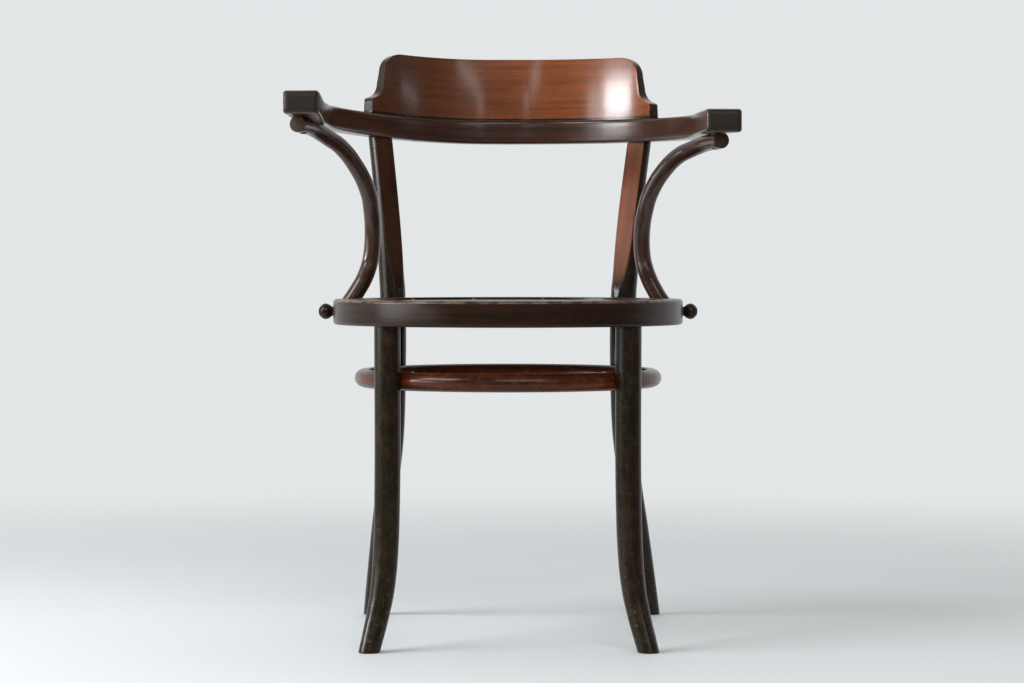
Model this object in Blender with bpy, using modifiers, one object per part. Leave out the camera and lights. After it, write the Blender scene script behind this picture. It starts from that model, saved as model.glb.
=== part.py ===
"""Bentwood armchair: round seat ring, bent legs, one-piece arm bow and shaped crest.

Units are metres and +Z is up. The sitter faces -Y. Places below are measured from
the seat ring's centre at floor level, and the last step of the script shifts the
whole chair so that its origin is at the middle of its footprint.
"""
import math

import bmesh
import bpy
from mathutils import Vector

CHAIR = "bentwood_armchair"

# Fits
GAP = 0.0003
TENON_GAP = 0.0003
SCREW_GAP = 0.0003

# Seat ring
SEAT_HEIGHT = 0.427
RING_RADIUS = 0.220
RING_WIDTH = 0.048
RING_DEPTH = 0.032
RING_ROUNDING = 0.004
RING_INNER_ROUNDING = 0.002
RIM_WIDTH = 0.040

# Seat panel and its nails
PANEL_RECESS = 0.003
PANEL_THICKNESS = 0.005
PANEL_EDGE = 0.001
NAIL_COUNT = 12
NAIL_EDGE_DISTANCE = 0.004
NAIL_LENGTH = 0.011
NAIL_RADIUS = 0.0009
NAIL_HEAD_RADIUS = 0.0026
NAIL_HEAD_HEIGHT = 0.0012

# Front legs
FRONT_LEG_INSET = 0.0197
FRONT_LEG_TURN = math.radians(-42.8)
FRONT_FOOT_OUT = 0.0226
FRONT_FOOT_SWAY = 0.0012
FRONT_FOOT_FORWARD = 0.027
FRONT_LEG_RADIUS = 0.016
FRONT_FOOT_RADIUS = 0.01275
LEG_TENON_RADIUS = 0.009
LEG_TENON_LENGTH = 0.016

# Rear legs, each one piece with its back post
REAR_LEG_OUTSET = 0.004
REAR_LEG_TURN = math.radians(47.44)
REAR_FOOT_OUT = 0.0352
REAR_FOOT_SWAY = 0.0045
REAR_FOOT_BACK = 0.089
REAR_LEG_RADIUS = 0.01675
REAR_FOOT_RADIUS = 0.0125
POST_RADIUS = 0.0155
POST_FLAT_DEPTH = 0.0074
POST_FLAT_TURN = math.radians(38)
POST_TENON_RADIUS = 0.008
POST_TENON_LENGTH = 0.016
FOOT_ROUNDING = 0.0015

# Foot ring
FOOT_RING_HEIGHT = 0.3275
FOOT_RING_SIDE_INSET = 0.0375
FOOT_RING_END_INSET = 0.032
FOOT_RING_BACK = 0.010
FOOT_RING_TUBE = 0.01125

# Arm bow, described by its inner edge
BOW_UNDERSIDE = 0.631
BOW_SIDE_OUTSET = 0.009
BOW_REAR_OUTSET = 0.025
BOW_THICKNESS = 0.028
BOW_HEIGHT_REAR = 0.031
BOW_HEIGHT_TIP = 0.0285
BOW_ROUNDING = 0.004
ARM_REACH = 0.150
ARM_SPLAY = 0.006
ARM_TIP_THICKNESS = 0.0445
ARM_FLARE = 0.100
ARM_TIP_ROUNDING = 0.0065
POST_RUN = 0.184
# The photographed bow has sprung, so that its left arm stands higher than its right one.
LEFT_RISE_START = 0.030
LEFT_RISE_LENGTH = 0.310
LEFT_ARM_RISE = 0.0122
LEFT_TIP_RISE = 0.0103
LEFT_TIP_CURL = 0.078
# It also stands a little to the right, more so at its arms.
BOW_SWAY = 0.004
BOW_YAW = 0.011

# Crest panel on the bow
CREST_HEIGHT = 0.0815
CREST_THICKNESS = 0.015
CREST_TOP_SHARE = 0.66
CREST_SETBACK = 0.003
CREST_LEAN = 0.003
CREST_SHIFT = 0.002
CREST_FOOT_HALF = 0.212
CREST_FOOT_HEIGHT = 0.0200
CREST_FOOT_ROUNDING = 0.004
CREST_SCOOP_HEIGHT = 0.0210
CREST_WAIST_HALF = 0.190
CREST_SHOULDER_HALF = 0.187
CREST_CORNER_WIDTH = 0.030
CREST_CORNER_HEIGHT = 0.026
CREST_EDGE = 0.0022

# Arm supports
SUPPORT_FOOT_INSET = 0.0262
SUPPORT_FOOT_TURN = math.radians(5)
SUPPORT_END_SETBACK = 0.025
SUPPORT_END_INSET = 0.0257
SUPPORT_END_SHIFT = 0.0036
SUPPORT_LOW_RADIUS = 0.0105
SUPPORT_TOP_RADIUS = 0.0102
SUPPORT_FLAT_DEPTH = 0.0016
SUPPORT_SWAY = 0.0034
SADDLE_LENGTH = 0.022
SADDLE_HALF_WIDTH = 0.0056
SUPPORT_TENON_RADIUS = 0.007
SUPPORT_TENON_LENGTH = 0.023
SUPPORT_LIFT_START = 0.45
SUPPORT_LIFT_POWER = 4

# Side knobs, whose shanks also pin the arm supports' tenons
KNOB_LENGTH = 0.0205
KNOB_RADIUS = 0.010
KNOB_NECK_RADIUS = 0.0055
KNOB_SHANK_RADIUS = 0.003
KNOB_SHANK_LENGTH = 0.034

# Bolts that hold the rear legs to the seat ring
BOLT_RADIUS = 0.003
BOLT_HEAD_RADIUS = 0.0065
BOLT_HEAD_HEIGHT = 0.0032
BOLT_HEAD_SINK = 0.0032
BOLT_RISE = 0.0125
WASHER_RADIUS = 0.0065
WASHER_THICKNESS = 0.0012
NUT_ACROSS_FLATS = 0.010
NUT_HEIGHT = 0.005
BOLT_PAST_NUT = 0.002

# Slotted wood screws
SCREW_RADIUS = 0.002
SCREW_HEAD_RADIUS = 0.004
SCREW_HEAD_HEIGHT = 0.0025
SCREW_POINT = 0.004
SCREW_SLOT_WIDTH = 0.0009
SCREW_SLOT_DEPTH = 0.0009
SCREW_SINK = 0.0004
RING_SCREW_LENGTH = 0.030
SUPPORT_SCREW_LENGTH = 0.032
CREST_SCREW_LENGTH = 0.048
CREST_SCREW_RUN = 0.130
POST_SCREW_LENGTH = 0.020
POST_SCREW_RISE = 0.0085

# Facets
LATHE_STEPS = 68
LEG_ARC_SIDES = 15
LEG_FLAT_SIDES = 3
TUBE_RESOLUTION = 4
FOOT_RING_POINTS = 56
BOW_STEPS = 22
SCREW_SIDES = 10

RING_BOTTOM = SEAT_HEIGHT - RING_DEPTH
FRONT_LEG_X = (RING_RADIUS - FRONT_LEG_INSET) * math.cos(FRONT_LEG_TURN)
FRONT_LEG_Y = (RING_RADIUS - FRONT_LEG_INSET) * math.sin(FRONT_LEG_TURN)
REAR_LEG_X = (RING_RADIUS + REAR_LEG_OUTSET) * math.cos(REAR_LEG_TURN)
REAR_LEG_Y = (RING_RADIUS + REAR_LEG_OUTSET) * math.sin(REAR_LEG_TURN)
FOOT_RING_HALF_WIDTH = RING_RADIUS - FOOT_RING_SIDE_INSET
FOOT_RING_HALF_DEPTH = RING_RADIUS - FOOT_RING_END_INSET
SUPPORT_FOOT_RADIUS = RING_RADIUS - SUPPORT_FOOT_INSET
BOW_SIDE = RING_RADIUS + BOW_SIDE_OUTSET
BOW_REAR = RING_RADIUS + BOW_REAR_OUTSET
LEDGE_HEIGHT = SEAT_HEIGHT - PANEL_RECESS - PANEL_THICKNESS - GAP
REBATE_RADIUS = RING_RADIUS - RIM_WIDTH
PANEL_RADIUS = REBATE_RADIUS - GAP
BOW_QUARTER = math.pi / 4 * (BOW_SIDE + BOW_REAR)
BOW_HALF = BOW_QUARTER + ARM_REACH
BOLT_HEIGHT = RING_BOTTOM + BOLT_RISE
UP = Vector((0, 0, 1))
RIGHT, LEFT = 1, -1
SIDE_NAMES = {RIGHT: "right", LEFT: "left"}


def clear_scene():
    """Remove the scene's objects and make one collection for parts and one for cutters."""
    for old in list(bpy.data.objects):
        bpy.data.objects.remove(old, do_unlink=True)
    parts = bpy.data.collections.new(CHAIR)
    cutters = bpy.data.collections.new("cutters")
    for collection in (parts, cutters):
        bpy.context.scene.collection.children.link(collection)
    root = bpy.data.objects.new("chair_origin", None)
    parts.objects.link(root)
    return parts, cutters, root


PARTS, CUTTERS, ROOT = clear_scene()


def wood(name, color, roughness):
    """Return a stained and varnished wood material."""
    return material(name, color, roughness, 0.0)


def material(name, color, roughness, metallic):
    """Return a Principled BSDF material of one colour."""
    new = bpy.data.materials.new(name)
    new.use_nodes = True
    shader = new.node_tree.nodes["Principled BSDF"]
    shader.inputs["Base Color"].default_value = (*color, 1.0)
    shader.inputs["Roughness"].default_value = roughness
    shader.inputs["Metallic"].default_value = metallic
    return new


RING_WOOD = wood("ring_wood", (0.050, 0.020, 0.013), 0.28)
LEG_WOOD = wood("leg_wood", (0.034, 0.017, 0.012), 0.40)
BOW_WOOD = wood("bow_wood", (0.070, 0.025, 0.016), 0.28)
CREST_WOOD = wood("crest_wood", (0.170, 0.042, 0.018), 0.22)
PANEL_WOOD = wood("panel_wood", (0.060, 0.028, 0.018), 0.35)
STEEL = material("screw_steel", (0.30, 0.27, 0.23), 0.38, 1.0)


def place(obj, collection, surface=None):
    """Link an object under the chair's origin and give it its material."""
    collection.objects.link(obj)
    obj.parent = ROOT
    if surface is not None:
        obj.data.materials.append(surface)
        obj.data.shade_smooth()
        obj.data.set_sharp_from_angle(angle=math.radians(35))
    else:
        obj.hide_render = True
        obj.display_type = "WIRE"
    return obj


def point_along(obj, start, direction):
    """Put an object's origin at start and turn its +Z along direction."""
    obj.location = start
    obj.rotation_mode = "QUATERNION"
    obj.rotation_quaternion = direction.to_track_quat("Z", "Y")
    return obj


def turned(name, profile, collection, surface=None, steps=LATHE_STEPS, closed=False):
    """Return a turned piece: a profile of (radius, height) points and a Screw modifier."""
    mesh = bpy.data.meshes.new(name)
    count = len(profile)
    edges = [(i, (i + 1) % count) for i in range(count if closed else count - 1)]
    mesh.from_pydata([(r, 0, z) for r, z in profile], edges, [])
    obj = bpy.data.objects.new(name, mesh)
    place(obj, collection, surface)
    screw = obj.modifiers.new("turn", "SCREW")
    screw.steps = steps
    screw.render_steps = steps
    screw.use_merge_vertices = True
    screw.merge_threshold = 0.00001
    if surface is not None:
        screw.use_smooth_shade = True
    return obj


def cut(target, cutter, operation="DIFFERENCE"):
    """Cut one object with another, or join the two."""
    boolean = target.modifiers.new(cutter.name, "BOOLEAN")
    boolean.operation = operation
    boolean.solver = "EXACT"
    boolean.object = cutter
    return target


def peg(name, radius, start, end, steps=24):
    """Return a plain round cutter from start to end."""
    run = end - start
    half = run.length / 2
    mesh = bpy.data.meshes.new(name)
    shape = bmesh.new()
    bmesh.ops.create_cone(shape, cap_ends=True, segments=steps, radius1=radius, radius2=radius,
                          depth=run.length)
    bmesh.ops.translate(shape, verts=shape.verts, vec=UP * half)
    shape.to_mesh(mesh)
    shape.free()
    obj = place(bpy.data.objects.new(name, mesh), CUTTERS)
    return point_along(obj, start, run)


def block(name, start, end, half_width, height):
    """Return an upright block over the level run from start to end."""
    along = Vector((end.x - start.x, end.y - start.y, 0))
    mesh = bpy.data.meshes.new(name)
    shape = bmesh.new()
    bmesh.ops.create_cube(shape, size=1.0)
    bmesh.ops.scale(shape, verts=shape.verts, vec=(along.length, 2 * half_width, height))
    bmesh.ops.translate(shape, verts=shape.verts, vec=(along.length / 2, 0, height / 2))
    shape.to_mesh(mesh)
    shape.free()
    obj = place(bpy.data.objects.new(name, mesh), CUTTERS)
    obj.location = start
    obj.rotation_euler = (0, 0, math.atan2(along.y, along.x))
    return obj


def arc(centre, radius, start, end, steps):
    """Return (x, z) points on an arc, with angles in degrees."""
    points = []
    for i in range(steps + 1):
        angle = math.radians(start + (end - start) * i / steps)
        points.append((centre[0] + radius * math.cos(angle), centre[1] + radius * math.sin(angle)))
    return points


def smooth_rows(rows, steps):
    """Return rows of numbers on a smooth curve through the given rows, however they are spaced."""
    spans = [math.dist(a, b) for a, b in zip(rows, rows[1:])]
    slopes = [[(q - p) / span for p, q in zip(a, b)] for a, b, span in zip(rows, rows[1:], spans)]
    bends = [slopes[0]]
    for before, after, low, high in zip(slopes, slopes[1:], spans, spans[1:]):
        bends.append([(p * high + q * low) / (low + high) for p, q in zip(before, after)])
    bends.append(slopes[-1])
    result = []
    for a, b, start, end, span in zip(rows, rows[1:], bends, bends[1:], spans):
        for k in range(steps):
            t = k / steps
            result.append([
                p + (q - p) * t * t * (3 - 2 * t) + span * t * (1 - t) * ((1 - t) * u - t * v)
                for p, q, u, v in zip(a, b, start, end)
            ])
    result.append(list(rows[-1]))
    return result


def smoothstep(t):
    """Return t eased at both ends and kept between 0 and 1."""
    t = min(max(t, 0.0), 1.0)
    return t * t * (3 - 2 * t)


def loft(name, rings, collection, surface=None):
    """Return a closed solid through rings of as many points each, with flat ends."""
    shape = bmesh.new()
    rows = [[shape.verts.new(point) for point in ring] for ring in rings]
    count = len(rows[0])
    for low, high in zip(rows, rows[1:]):
        for i in range(count):
            j = (i + 1) % count
            shape.faces.new((low[i], low[j], high[j], high[i]))
    shape.faces.new(rows[0][::-1])
    shape.faces.new(rows[-1])
    bmesh.ops.recalc_face_normals(shape, faces=shape.faces)
    mesh = bpy.data.meshes.new(name)
    shape.to_mesh(mesh)
    shape.free()
    return place(bpy.data.objects.new(name, mesh), collection, surface)


def tube(name, points, radii, cyclic, collection, surface=None):
    """Return a bent round rod, a beveled curve that is then made a mesh."""
    curve = bpy.data.curves.new(name + "_path", "CURVE")
    curve.dimensions = "3D"
    curve.bevel_depth = 1.0
    curve.bevel_resolution = TUBE_RESOLUTION
    curve.use_fill_caps = not cyclic
    spline = curve.splines.new("POLY")
    spline.points.add(len(points) - 1)
    for knot, point, radius in zip(spline.points, points, radii):
        knot.co = (*point, 1.0)
        knot.radius = radius
    spline.use_cyclic_u = cyclic
    path = bpy.data.objects.new(name + "_path", curve)
    CUTTERS.objects.link(path)
    bpy.context.view_layer.update()
    evaluated = path.evaluated_get(bpy.context.evaluated_depsgraph_get())
    mesh = bpy.data.meshes.new_from_object(evaluated)
    mesh.name = name
    shape = bmesh.new()
    shape.from_mesh(mesh)
    bmesh.ops.remove_doubles(shape, verts=shape.verts, dist=0.00001)
    bmesh.ops.recalc_face_normals(shape, faces=shape.faces)
    shape.to_mesh(mesh)
    shape.free()
    obj = bpy.data.objects.new(name, mesh)
    obj.matrix_world = path.matrix_world
    bpy.data.objects.remove(path, do_unlink=True)
    return place(obj, collection, surface)


def level_section(centre, radius, lean, flat_depth, flat_turn):
    """Return a level cut through a round rod that leans and has one flat planed along it."""
    slope = math.hypot(*lean)
    stretch = math.hypot(1.0, slope) - 1.0
    along = Vector((lean[0], lean[1])) / slope if slope > 0 else Vector((1, 0))
    half_angle = math.acos(1 - flat_depth / radius)
    points = []
    for i in range(LEG_ARC_SIDES):
        angle = half_angle + (2 * math.pi - 2 * half_angle) * i / LEG_ARC_SIDES
        points.append(Vector((math.cos(angle), math.sin(angle))) * radius)
    for i in range(LEG_FLAT_SIDES):
        across = math.sin(half_angle) * (2 * i / LEG_FLAT_SIDES - 1)
        points.append(Vector((math.cos(half_angle), across)) * radius)
    turn_cos, turn_sin = math.cos(flat_turn), math.sin(flat_turn)
    ring = []
    for p in points:
        q = Vector((p.x * turn_cos - p.y * turn_sin, p.x * turn_sin + p.y * turn_cos))
        q += along * (q.dot(along) * stretch)
        ring.append((centre[0] + q.x, centre[1] + q.y, centre[2]))
    return ring


def upright(name, rows, flat_turn, surface):
    """Return a leg through rows of (x, y, z, radius, flat depth), from the floor up."""
    rings = []
    for i, (x, y, z, radius, flat_depth) in enumerate(rows):
        low, high = rows[max(i - 1, 0)], rows[min(i + 1, len(rows) - 1)]
        rise = high[2] - low[2]
        lean = ((high[0] - low[0]) / rise, (high[1] - low[1]) / rise)
        if i == 0:
            rings.append(level_section((x, y, z), radius - FOOT_ROUNDING, lean, flat_depth, flat_turn))
            z += FOOT_ROUNDING
            x, y = x + lean[0] * FOOT_ROUNDING, y + lean[1] * FOOT_ROUNDING
        rings.append(level_section((x, y, z), radius, lean, flat_depth, flat_turn))
    return loft(name, rings, PARTS, surface)


def bow_plan(run):
    """Return the bow's inner edge and outward normal, run metres round from its back.

    A positive run goes round to the right arm, and a negative one to the left arm.
    """
    side = LEFT if run < 0 else RIGHT
    run = abs(run)
    if run <= BOW_QUARTER:
        angle = math.pi / 2 * run / BOW_QUARTER
        x, y = BOW_SIDE * math.sin(angle), BOW_REAR * math.cos(angle)
        out = Vector((BOW_REAR * math.sin(angle), BOW_SIDE * math.cos(angle), 0)).normalized()
    else:
        share = (run - BOW_QUARTER) / ARM_REACH
        x, y = BOW_SIDE + ARM_SPLAY * share**2, -ARM_REACH * share
        out = Vector((ARM_REACH, 2 * ARM_SPLAY * share, 0)).normalized()
    return Vector((side * x + BOW_SWAY - BOW_YAW * y, y, 0)), Vector((side * out.x, out.y, 0))


def bow_lift(run):
    """Return how far the sprung left arm lifts the bow at a place along it."""
    if run >= 0:
        return 0.0
    spring = LEFT_ARM_RISE * smoothstep((-run - LEFT_RISE_START) / LEFT_RISE_LENGTH)
    curl = LEFT_TIP_RISE * smoothstep((-run - BOW_HALF + LEFT_TIP_CURL) / LEFT_TIP_CURL)
    return spring + curl


def bow_bottom(run):
    """Return the height of the bow's underside."""
    return BOW_UNDERSIDE + bow_lift(run)


def bow_height(run):
    """Return the bow's height from its underside to its top."""
    return BOW_HEIGHT_REAR + (BOW_HEIGHT_TIP - BOW_HEIGHT_REAR) * abs(run) / BOW_HALF


def bow_thickness(run):
    """Return the bow's thickness, which flares into a block at each arm's tip."""
    flare = smoothstep((abs(run) - BOW_HALF + ARM_FLARE) / ARM_FLARE)
    return BOW_THICKNESS + (ARM_TIP_THICKNESS - BOW_THICKNESS) * flare


def bow_section(run, forward, inset):
    """Return one rounded section of the bow, pushed forward and drawn in at a tip's edge."""
    inner, out = bow_plan(run)
    onward = Vector((out.y, -out.x, 0)) * (1 if run >= 0 else -1)
    low, high = bow_bottom(run) + inset, bow_bottom(run) + bow_height(run) - inset
    near, far = inset, bow_thickness(run) - inset
    round_over = BOW_ROUNDING - inset * 0.35
    corners = [
        ((far - round_over, high - round_over), 0),
        ((near + round_over, high - round_over), 90),
        ((near + round_over, low + round_over), 180),
        ((far - round_over, low + round_over), 270),
    ]
    ring = []
    for centre, start in corners:
        for across, z in arc(centre, round_over, start, start + 90, 2):
            ring.append(inner + out * across + UP * z + onward * forward)
    return ring


def bow_rings(drop=0.0):
    """Return the bow's sections from the left tip to the right one, lowered by drop."""
    straight = 8
    runs = [BOW_QUARTER * i / BOW_STEPS for i in range(BOW_STEPS)]
    runs += [BOW_QUARTER + (ARM_REACH - ARM_TIP_ROUNDING) * i / straight for i in range(straight + 1)]
    angles = [math.radians(a) for a in (45, 90)]
    tips = [(ARM_TIP_ROUNDING * math.sin(a), ARM_TIP_ROUNDING * (1 - math.cos(a))) for a in angles]
    last = runs[-1]
    rings = [bow_section(-last, forward, inset) for forward, inset in reversed(tips)]
    rings += [bow_section(-run, 0, 0) for run in reversed(runs[1:])]
    rings += [bow_section(run, 0, 0) for run in runs]
    rings += [bow_section(last, forward, inset) for forward, inset in tips]
    return [[point - UP * drop for point in ring] for ring in rings]


def bow_middle(run):
    """Return the point under the middle of the bow's underside."""
    inner, out = bow_plan(run)
    return inner + out * bow_thickness(run) / 2 + UP * bow_bottom(run)


def make_arm_bow():
    """Make the one bent rail that forms the back and both arms."""
    return loft("arm_bow", bow_rings(), PARTS, BOW_WOOD)


def crest_half(height):
    """Return how far along the bow the crest reaches at a height above its foot."""
    scoop_top = CREST_FOOT_HEIGHT + CREST_SCOOP_HEIGHT
    corner_start = CREST_HEIGHT - CREST_CORNER_HEIGHT
    if height <= CREST_FOOT_HEIGHT:
        share = max(1 - (CREST_FOOT_HEIGHT - height) / CREST_FOOT_ROUNDING, 0)
        return CREST_FOOT_HALF - CREST_FOOT_ROUNDING * (1 - math.sqrt(1 - share**2))
    if height <= scoop_top:
        share = (scoop_top - height) / CREST_SCOOP_HEIGHT
        scoop = CREST_FOOT_HALF - (CREST_FOOT_HALF - CREST_WAIST_HALF) * math.sqrt(1 - share**2)
        return min(scoop, CREST_FOOT_HALF - CREST_FOOT_ROUNDING)
    if height <= corner_start:
        share = (height - scoop_top) / (corner_start - scoop_top)
        return CREST_WAIST_HALF + (CREST_SHOULDER_HALF - CREST_WAIST_HALF) * share
    share = (height - corner_start) / CREST_CORNER_HEIGHT
    return CREST_SHOULDER_HALF - CREST_CORNER_WIDTH * (1 - math.sqrt(max(1 - share**2, 0)))


def crest_rows():
    """Return the heights of the crest's rows, closer together where its outline turns."""
    scoop_top = CREST_FOOT_HEIGHT + CREST_SCOOP_HEIGHT
    corner_start = CREST_HEIGHT - CREST_CORNER_HEIGHT
    rows = [0.0] + [CREST_FOOT_HEIGHT - CREST_FOOT_ROUNDING * rest for rest in (1, 0.3, 0)]
    rows += [scoop_top - CREST_SCOOP_HEIGHT * math.sin(math.radians(a)) for a in (60, 35, 12)]
    rows += [corner_start + CREST_CORNER_HEIGHT * math.sin(math.radians(a)) for a in (0, 25, 50, 72, 90)]
    return rows


def make_crest():
    """Make the bent crest board, an open front face with Solidify."""
    columns = 18
    shape = bmesh.new()
    rows = crest_rows()
    grid = []
    for height in rows:
        half = crest_half(height)
        line = []
        for i in range(columns + 1):
            run = CREST_SHIFT + half * (2 * i / columns - 1)
            inner, out = bow_plan(run)
            foot = bow_bottom(run) + bow_height(run)
            setback = CREST_SETBACK + CREST_LEAN * (height / CREST_HEIGHT)**2
            line.append(shape.verts.new(inner + out * setback + UP * (foot + height)))
        grid.append(line)
    for low, high in zip(grid, grid[1:]):
        for i in range(columns):
            shape.faces.new((low[i], low[i + 1], high[i + 1], high[i]))
    mesh = bpy.data.meshes.new("crest_panel")
    shape.to_mesh(mesh)
    shape.free()
    obj = place(bpy.data.objects.new("crest_panel", mesh), PARTS, CREST_WOOD)
    thinning = obj.vertex_groups.new(name="thinning")
    for row, height in enumerate(rows):
        share = 1 - (1 - CREST_TOP_SHARE) * height / CREST_HEIGHT
        thinning.add(range(row * (columns + 1), (row + 1) * (columns + 1)), share, "REPLACE")
    solid = obj.modifiers.new("thickness", "SOLIDIFY")
    solid.thickness = CREST_THICKNESS
    solid.offset = -1.0
    solid.vertex_group = thinning.name
    edge = obj.modifiers.new("edge", "BEVEL")
    edge.width = CREST_EDGE
    edge.segments = 2
    edge.limit_method = "ANGLE"
    edge.angle_limit = math.radians(50)
    return obj


def make_seat_ring():
    """Make the bent seat ring with the rebate that holds the panel."""
    inner = RING_RADIUS - RING_WIDTH
    outer_mid = RING_RADIUS - RING_ROUNDING
    profile = arc((outer_mid, SEAT_HEIGHT - RING_ROUNDING), RING_ROUNDING, 90, 0, 3)
    profile += arc((outer_mid, RING_BOTTOM + RING_ROUNDING), RING_ROUNDING, 0, -90, 3)
    profile += arc((inner + RING_INNER_ROUNDING, RING_BOTTOM + RING_INNER_ROUNDING),
                   RING_INNER_ROUNDING, 270, 180, 2)
    profile += [(inner, LEDGE_HEIGHT), (REBATE_RADIUS, LEDGE_HEIGHT)]
    profile += [(REBATE_RADIUS, SEAT_HEIGHT - RING_INNER_ROUNDING / 2),
                (REBATE_RADIUS + RING_INNER_ROUNDING / 2, SEAT_HEIGHT)]
    return turned("seat_ring", profile, PARTS, RING_WOOD, closed=True)


def make_seat_panel():
    """Make the round plywood panel."""
    top = SEAT_HEIGHT - PANEL_RECESS
    profile = [(0, top), (PANEL_RADIUS - PANEL_EDGE, top), (PANEL_RADIUS, top - PANEL_EDGE)]
    profile += [(PANEL_RADIUS, top - PANEL_THICKNESS), (0, top - PANEL_THICKNESS)]
    return turned("seat_panel", profile, PARTS, PANEL_WOOD)


def add_nails(ring, panel):
    """Nail the panel to the ring's ledge."""
    head_bottom = SEAT_HEIGHT - PANEL_RECESS + GAP
    profile = [(0, NAIL_HEAD_HEIGHT), (NAIL_HEAD_RADIUS * 0.6, NAIL_HEAD_HEIGHT * 0.8)]
    profile += [(NAIL_HEAD_RADIUS, 0), (NAIL_RADIUS, 0)]
    profile += [(NAIL_RADIUS, -NAIL_LENGTH + NAIL_RADIUS * 2), (0, -NAIL_LENGTH)]
    for i in range(NAIL_COUNT):
        angle = math.tau * (i + 0.5) / NAIL_COUNT
        distance = REBATE_RADIUS - NAIL_EDGE_DISTANCE
        head = Vector((distance * math.cos(angle), distance * math.sin(angle), head_bottom))
        nail = turned(f"seat_nail_{i + 1}", profile, PARTS, STEEL, steps=8)
        nail.location = head
        tip = head - UP * (NAIL_LENGTH + GAP)
        hole = peg(f"nail_hole_{i + 1}", NAIL_RADIUS + GAP, tip, head + UP * 0.001, 8)
        cut(panel, hole)
        cut(ring, hole)


def add_screw(name, head, direction, length, pieces):
    """Drive a slotted countersunk screw from head along direction through the pieces."""
    neck = -SCREW_HEAD_HEIGHT

    def profile(extra):
        return [
            (0, 0), (SCREW_HEAD_RADIUS + extra, 0), (SCREW_RADIUS + extra, neck),
            (SCREW_RADIUS + extra, SCREW_POINT - length), (0, -length - extra),
        ]

    screw = turned(name, profile(0), PARTS, STEEL, steps=SCREW_SIDES)
    point_along(screw, head, -direction)
    slot = bpy.data.meshes.new(name + "_slot")
    shape = bmesh.new()
    bmesh.ops.create_cube(shape, size=1.0)
    size = (SCREW_HEAD_RADIUS * 3, SCREW_SLOT_WIDTH, SCREW_SLOT_DEPTH * 2)
    bmesh.ops.scale(shape, vec=size, verts=shape.verts)
    shape.to_mesh(slot)
    shape.free()
    slot_cutter = place(bpy.data.objects.new(name + "_slot", slot), CUTTERS)
    point_along(slot_cutter, head, -direction)
    cut(screw, slot_cutter)
    hole_profile = profile(SCREW_GAP)
    hole_profile[0] = (0, 0.004)
    hole_profile.insert(1, (SCREW_HEAD_RADIUS + SCREW_GAP, 0.004))
    hole = turned(name + "_hole", hole_profile, CUTTERS, steps=SCREW_SIDES)
    point_along(hole, head, -direction)
    for piece in pieces:
        cut(piece, hole)


def front_leg_rows(side):
    """Return a front leg's rows: straight down from the seat, then out to its foot."""
    shares = [
        (0.000, 1.00, 1.00), (0.047, 0.79, 0.80), (0.117, 0.50, 0.59), (0.199, 0.25, 0.33),
        (0.281, 0.12, 0.17), (0.375, 0.045, 0.08), (0.515, 0.0, 0.03), (1.000, 0.0, 0.0),
    ]
    rows = []
    for height, out, thin in smooth_rows(shares, 3):
        rows.append([
            side * FRONT_LEG_X + (side * FRONT_FOOT_OUT + FRONT_FOOT_SWAY) * out,
            FRONT_LEG_Y - FRONT_FOOT_FORWARD * out,
            (RING_BOTTOM - GAP) * height,
            FRONT_LEG_RADIUS + (FRONT_FOOT_RADIUS - FRONT_LEG_RADIUS) * thin,
            0.0001,
        ])
    return rows


def make_front_leg(side, ring):
    """Make a front leg and its tenon in the seat ring."""
    name = "front_leg_" + SIDE_NAMES[side]
    leg = upright(name, front_leg_rows(side), 0.0, LEG_WOOD)
    top = Vector((side * FRONT_LEG_X, FRONT_LEG_Y, RING_BOTTOM))
    tenon = peg(name + "_tenon", LEG_TENON_RADIUS, top - UP * 0.01, top + UP * LEG_TENON_LENGTH)
    cut(leg, tenon, "UNION")
    socket = peg(name + "_socket", LEG_TENON_RADIUS + TENON_GAP, top - UP * 0.01,
                 top + UP * (LEG_TENON_LENGTH + GAP))
    cut(ring, socket)
    return leg


def rear_leg_rows(side):
    """Return a rear leg's rows, from its foot past the seat to the top of its post."""
    below = [
        (0.000, 1.00, 1.000, 1.00), (0.140, 0.76, 0.685, 0.81), (0.281, 0.51, 0.393, 0.62),
        (0.4215, 0.25, 0.146, 0.46), (0.562, 0.04, -0.022, 0.32), (0.767, -0.05, -0.112, 0.18),
        (1.000, 0.00, 0.000, 0.00),
    ]
    above = [
        (0.060, 0.03, 0.04, 0.05, 0.10), (0.110, 0.08, 0.08, 0.20, 0.23), (0.290, 0.21, 0.20, 0.45, 0.73),
        (0.500, 0.39, 0.40, 0.75, 0.97), (0.800, 0.74, 0.75, 0.95, 1.00), (1.000, 1.00, 1.00, 1.00, 1.00),
    ]
    top = bow_middle(side * POST_RUN)
    rows = []
    for height, out, back, thin in below:
        rows.append([
            REAR_LEG_X + (REAR_FOOT_OUT + side * REAR_FOOT_SWAY) * out,
            REAR_LEG_Y + REAR_FOOT_BACK * back,
            SEAT_HEIGHT * height,
            REAR_LEG_RADIUS + (REAR_FOOT_RADIUS - REAR_LEG_RADIUS) * thin,
            0.0001,
        ])
    for height, out, back, thin, flat in above:
        rows.append([
            REAR_LEG_X + (abs(top.x) - REAR_LEG_X) * out,
            REAR_LEG_Y + (top.y - REAR_LEG_Y) * back,
            SEAT_HEIGHT + (top.z - SEAT_HEIGHT) * height,
            REAR_LEG_RADIUS + (POST_RADIUS - REAR_LEG_RADIUS) * thin,
            max(POST_FLAT_DEPTH * flat, 0.0001),
        ])
    rows = smooth_rows(rows, 2)
    for row in rows:
        row[0] *= side
        row[4] = max(row[4], 0.0001)
    rows.append([*rows[-1][:2], rows[-1][2] + 0.003, *rows[-1][3:]])
    return rows


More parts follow.
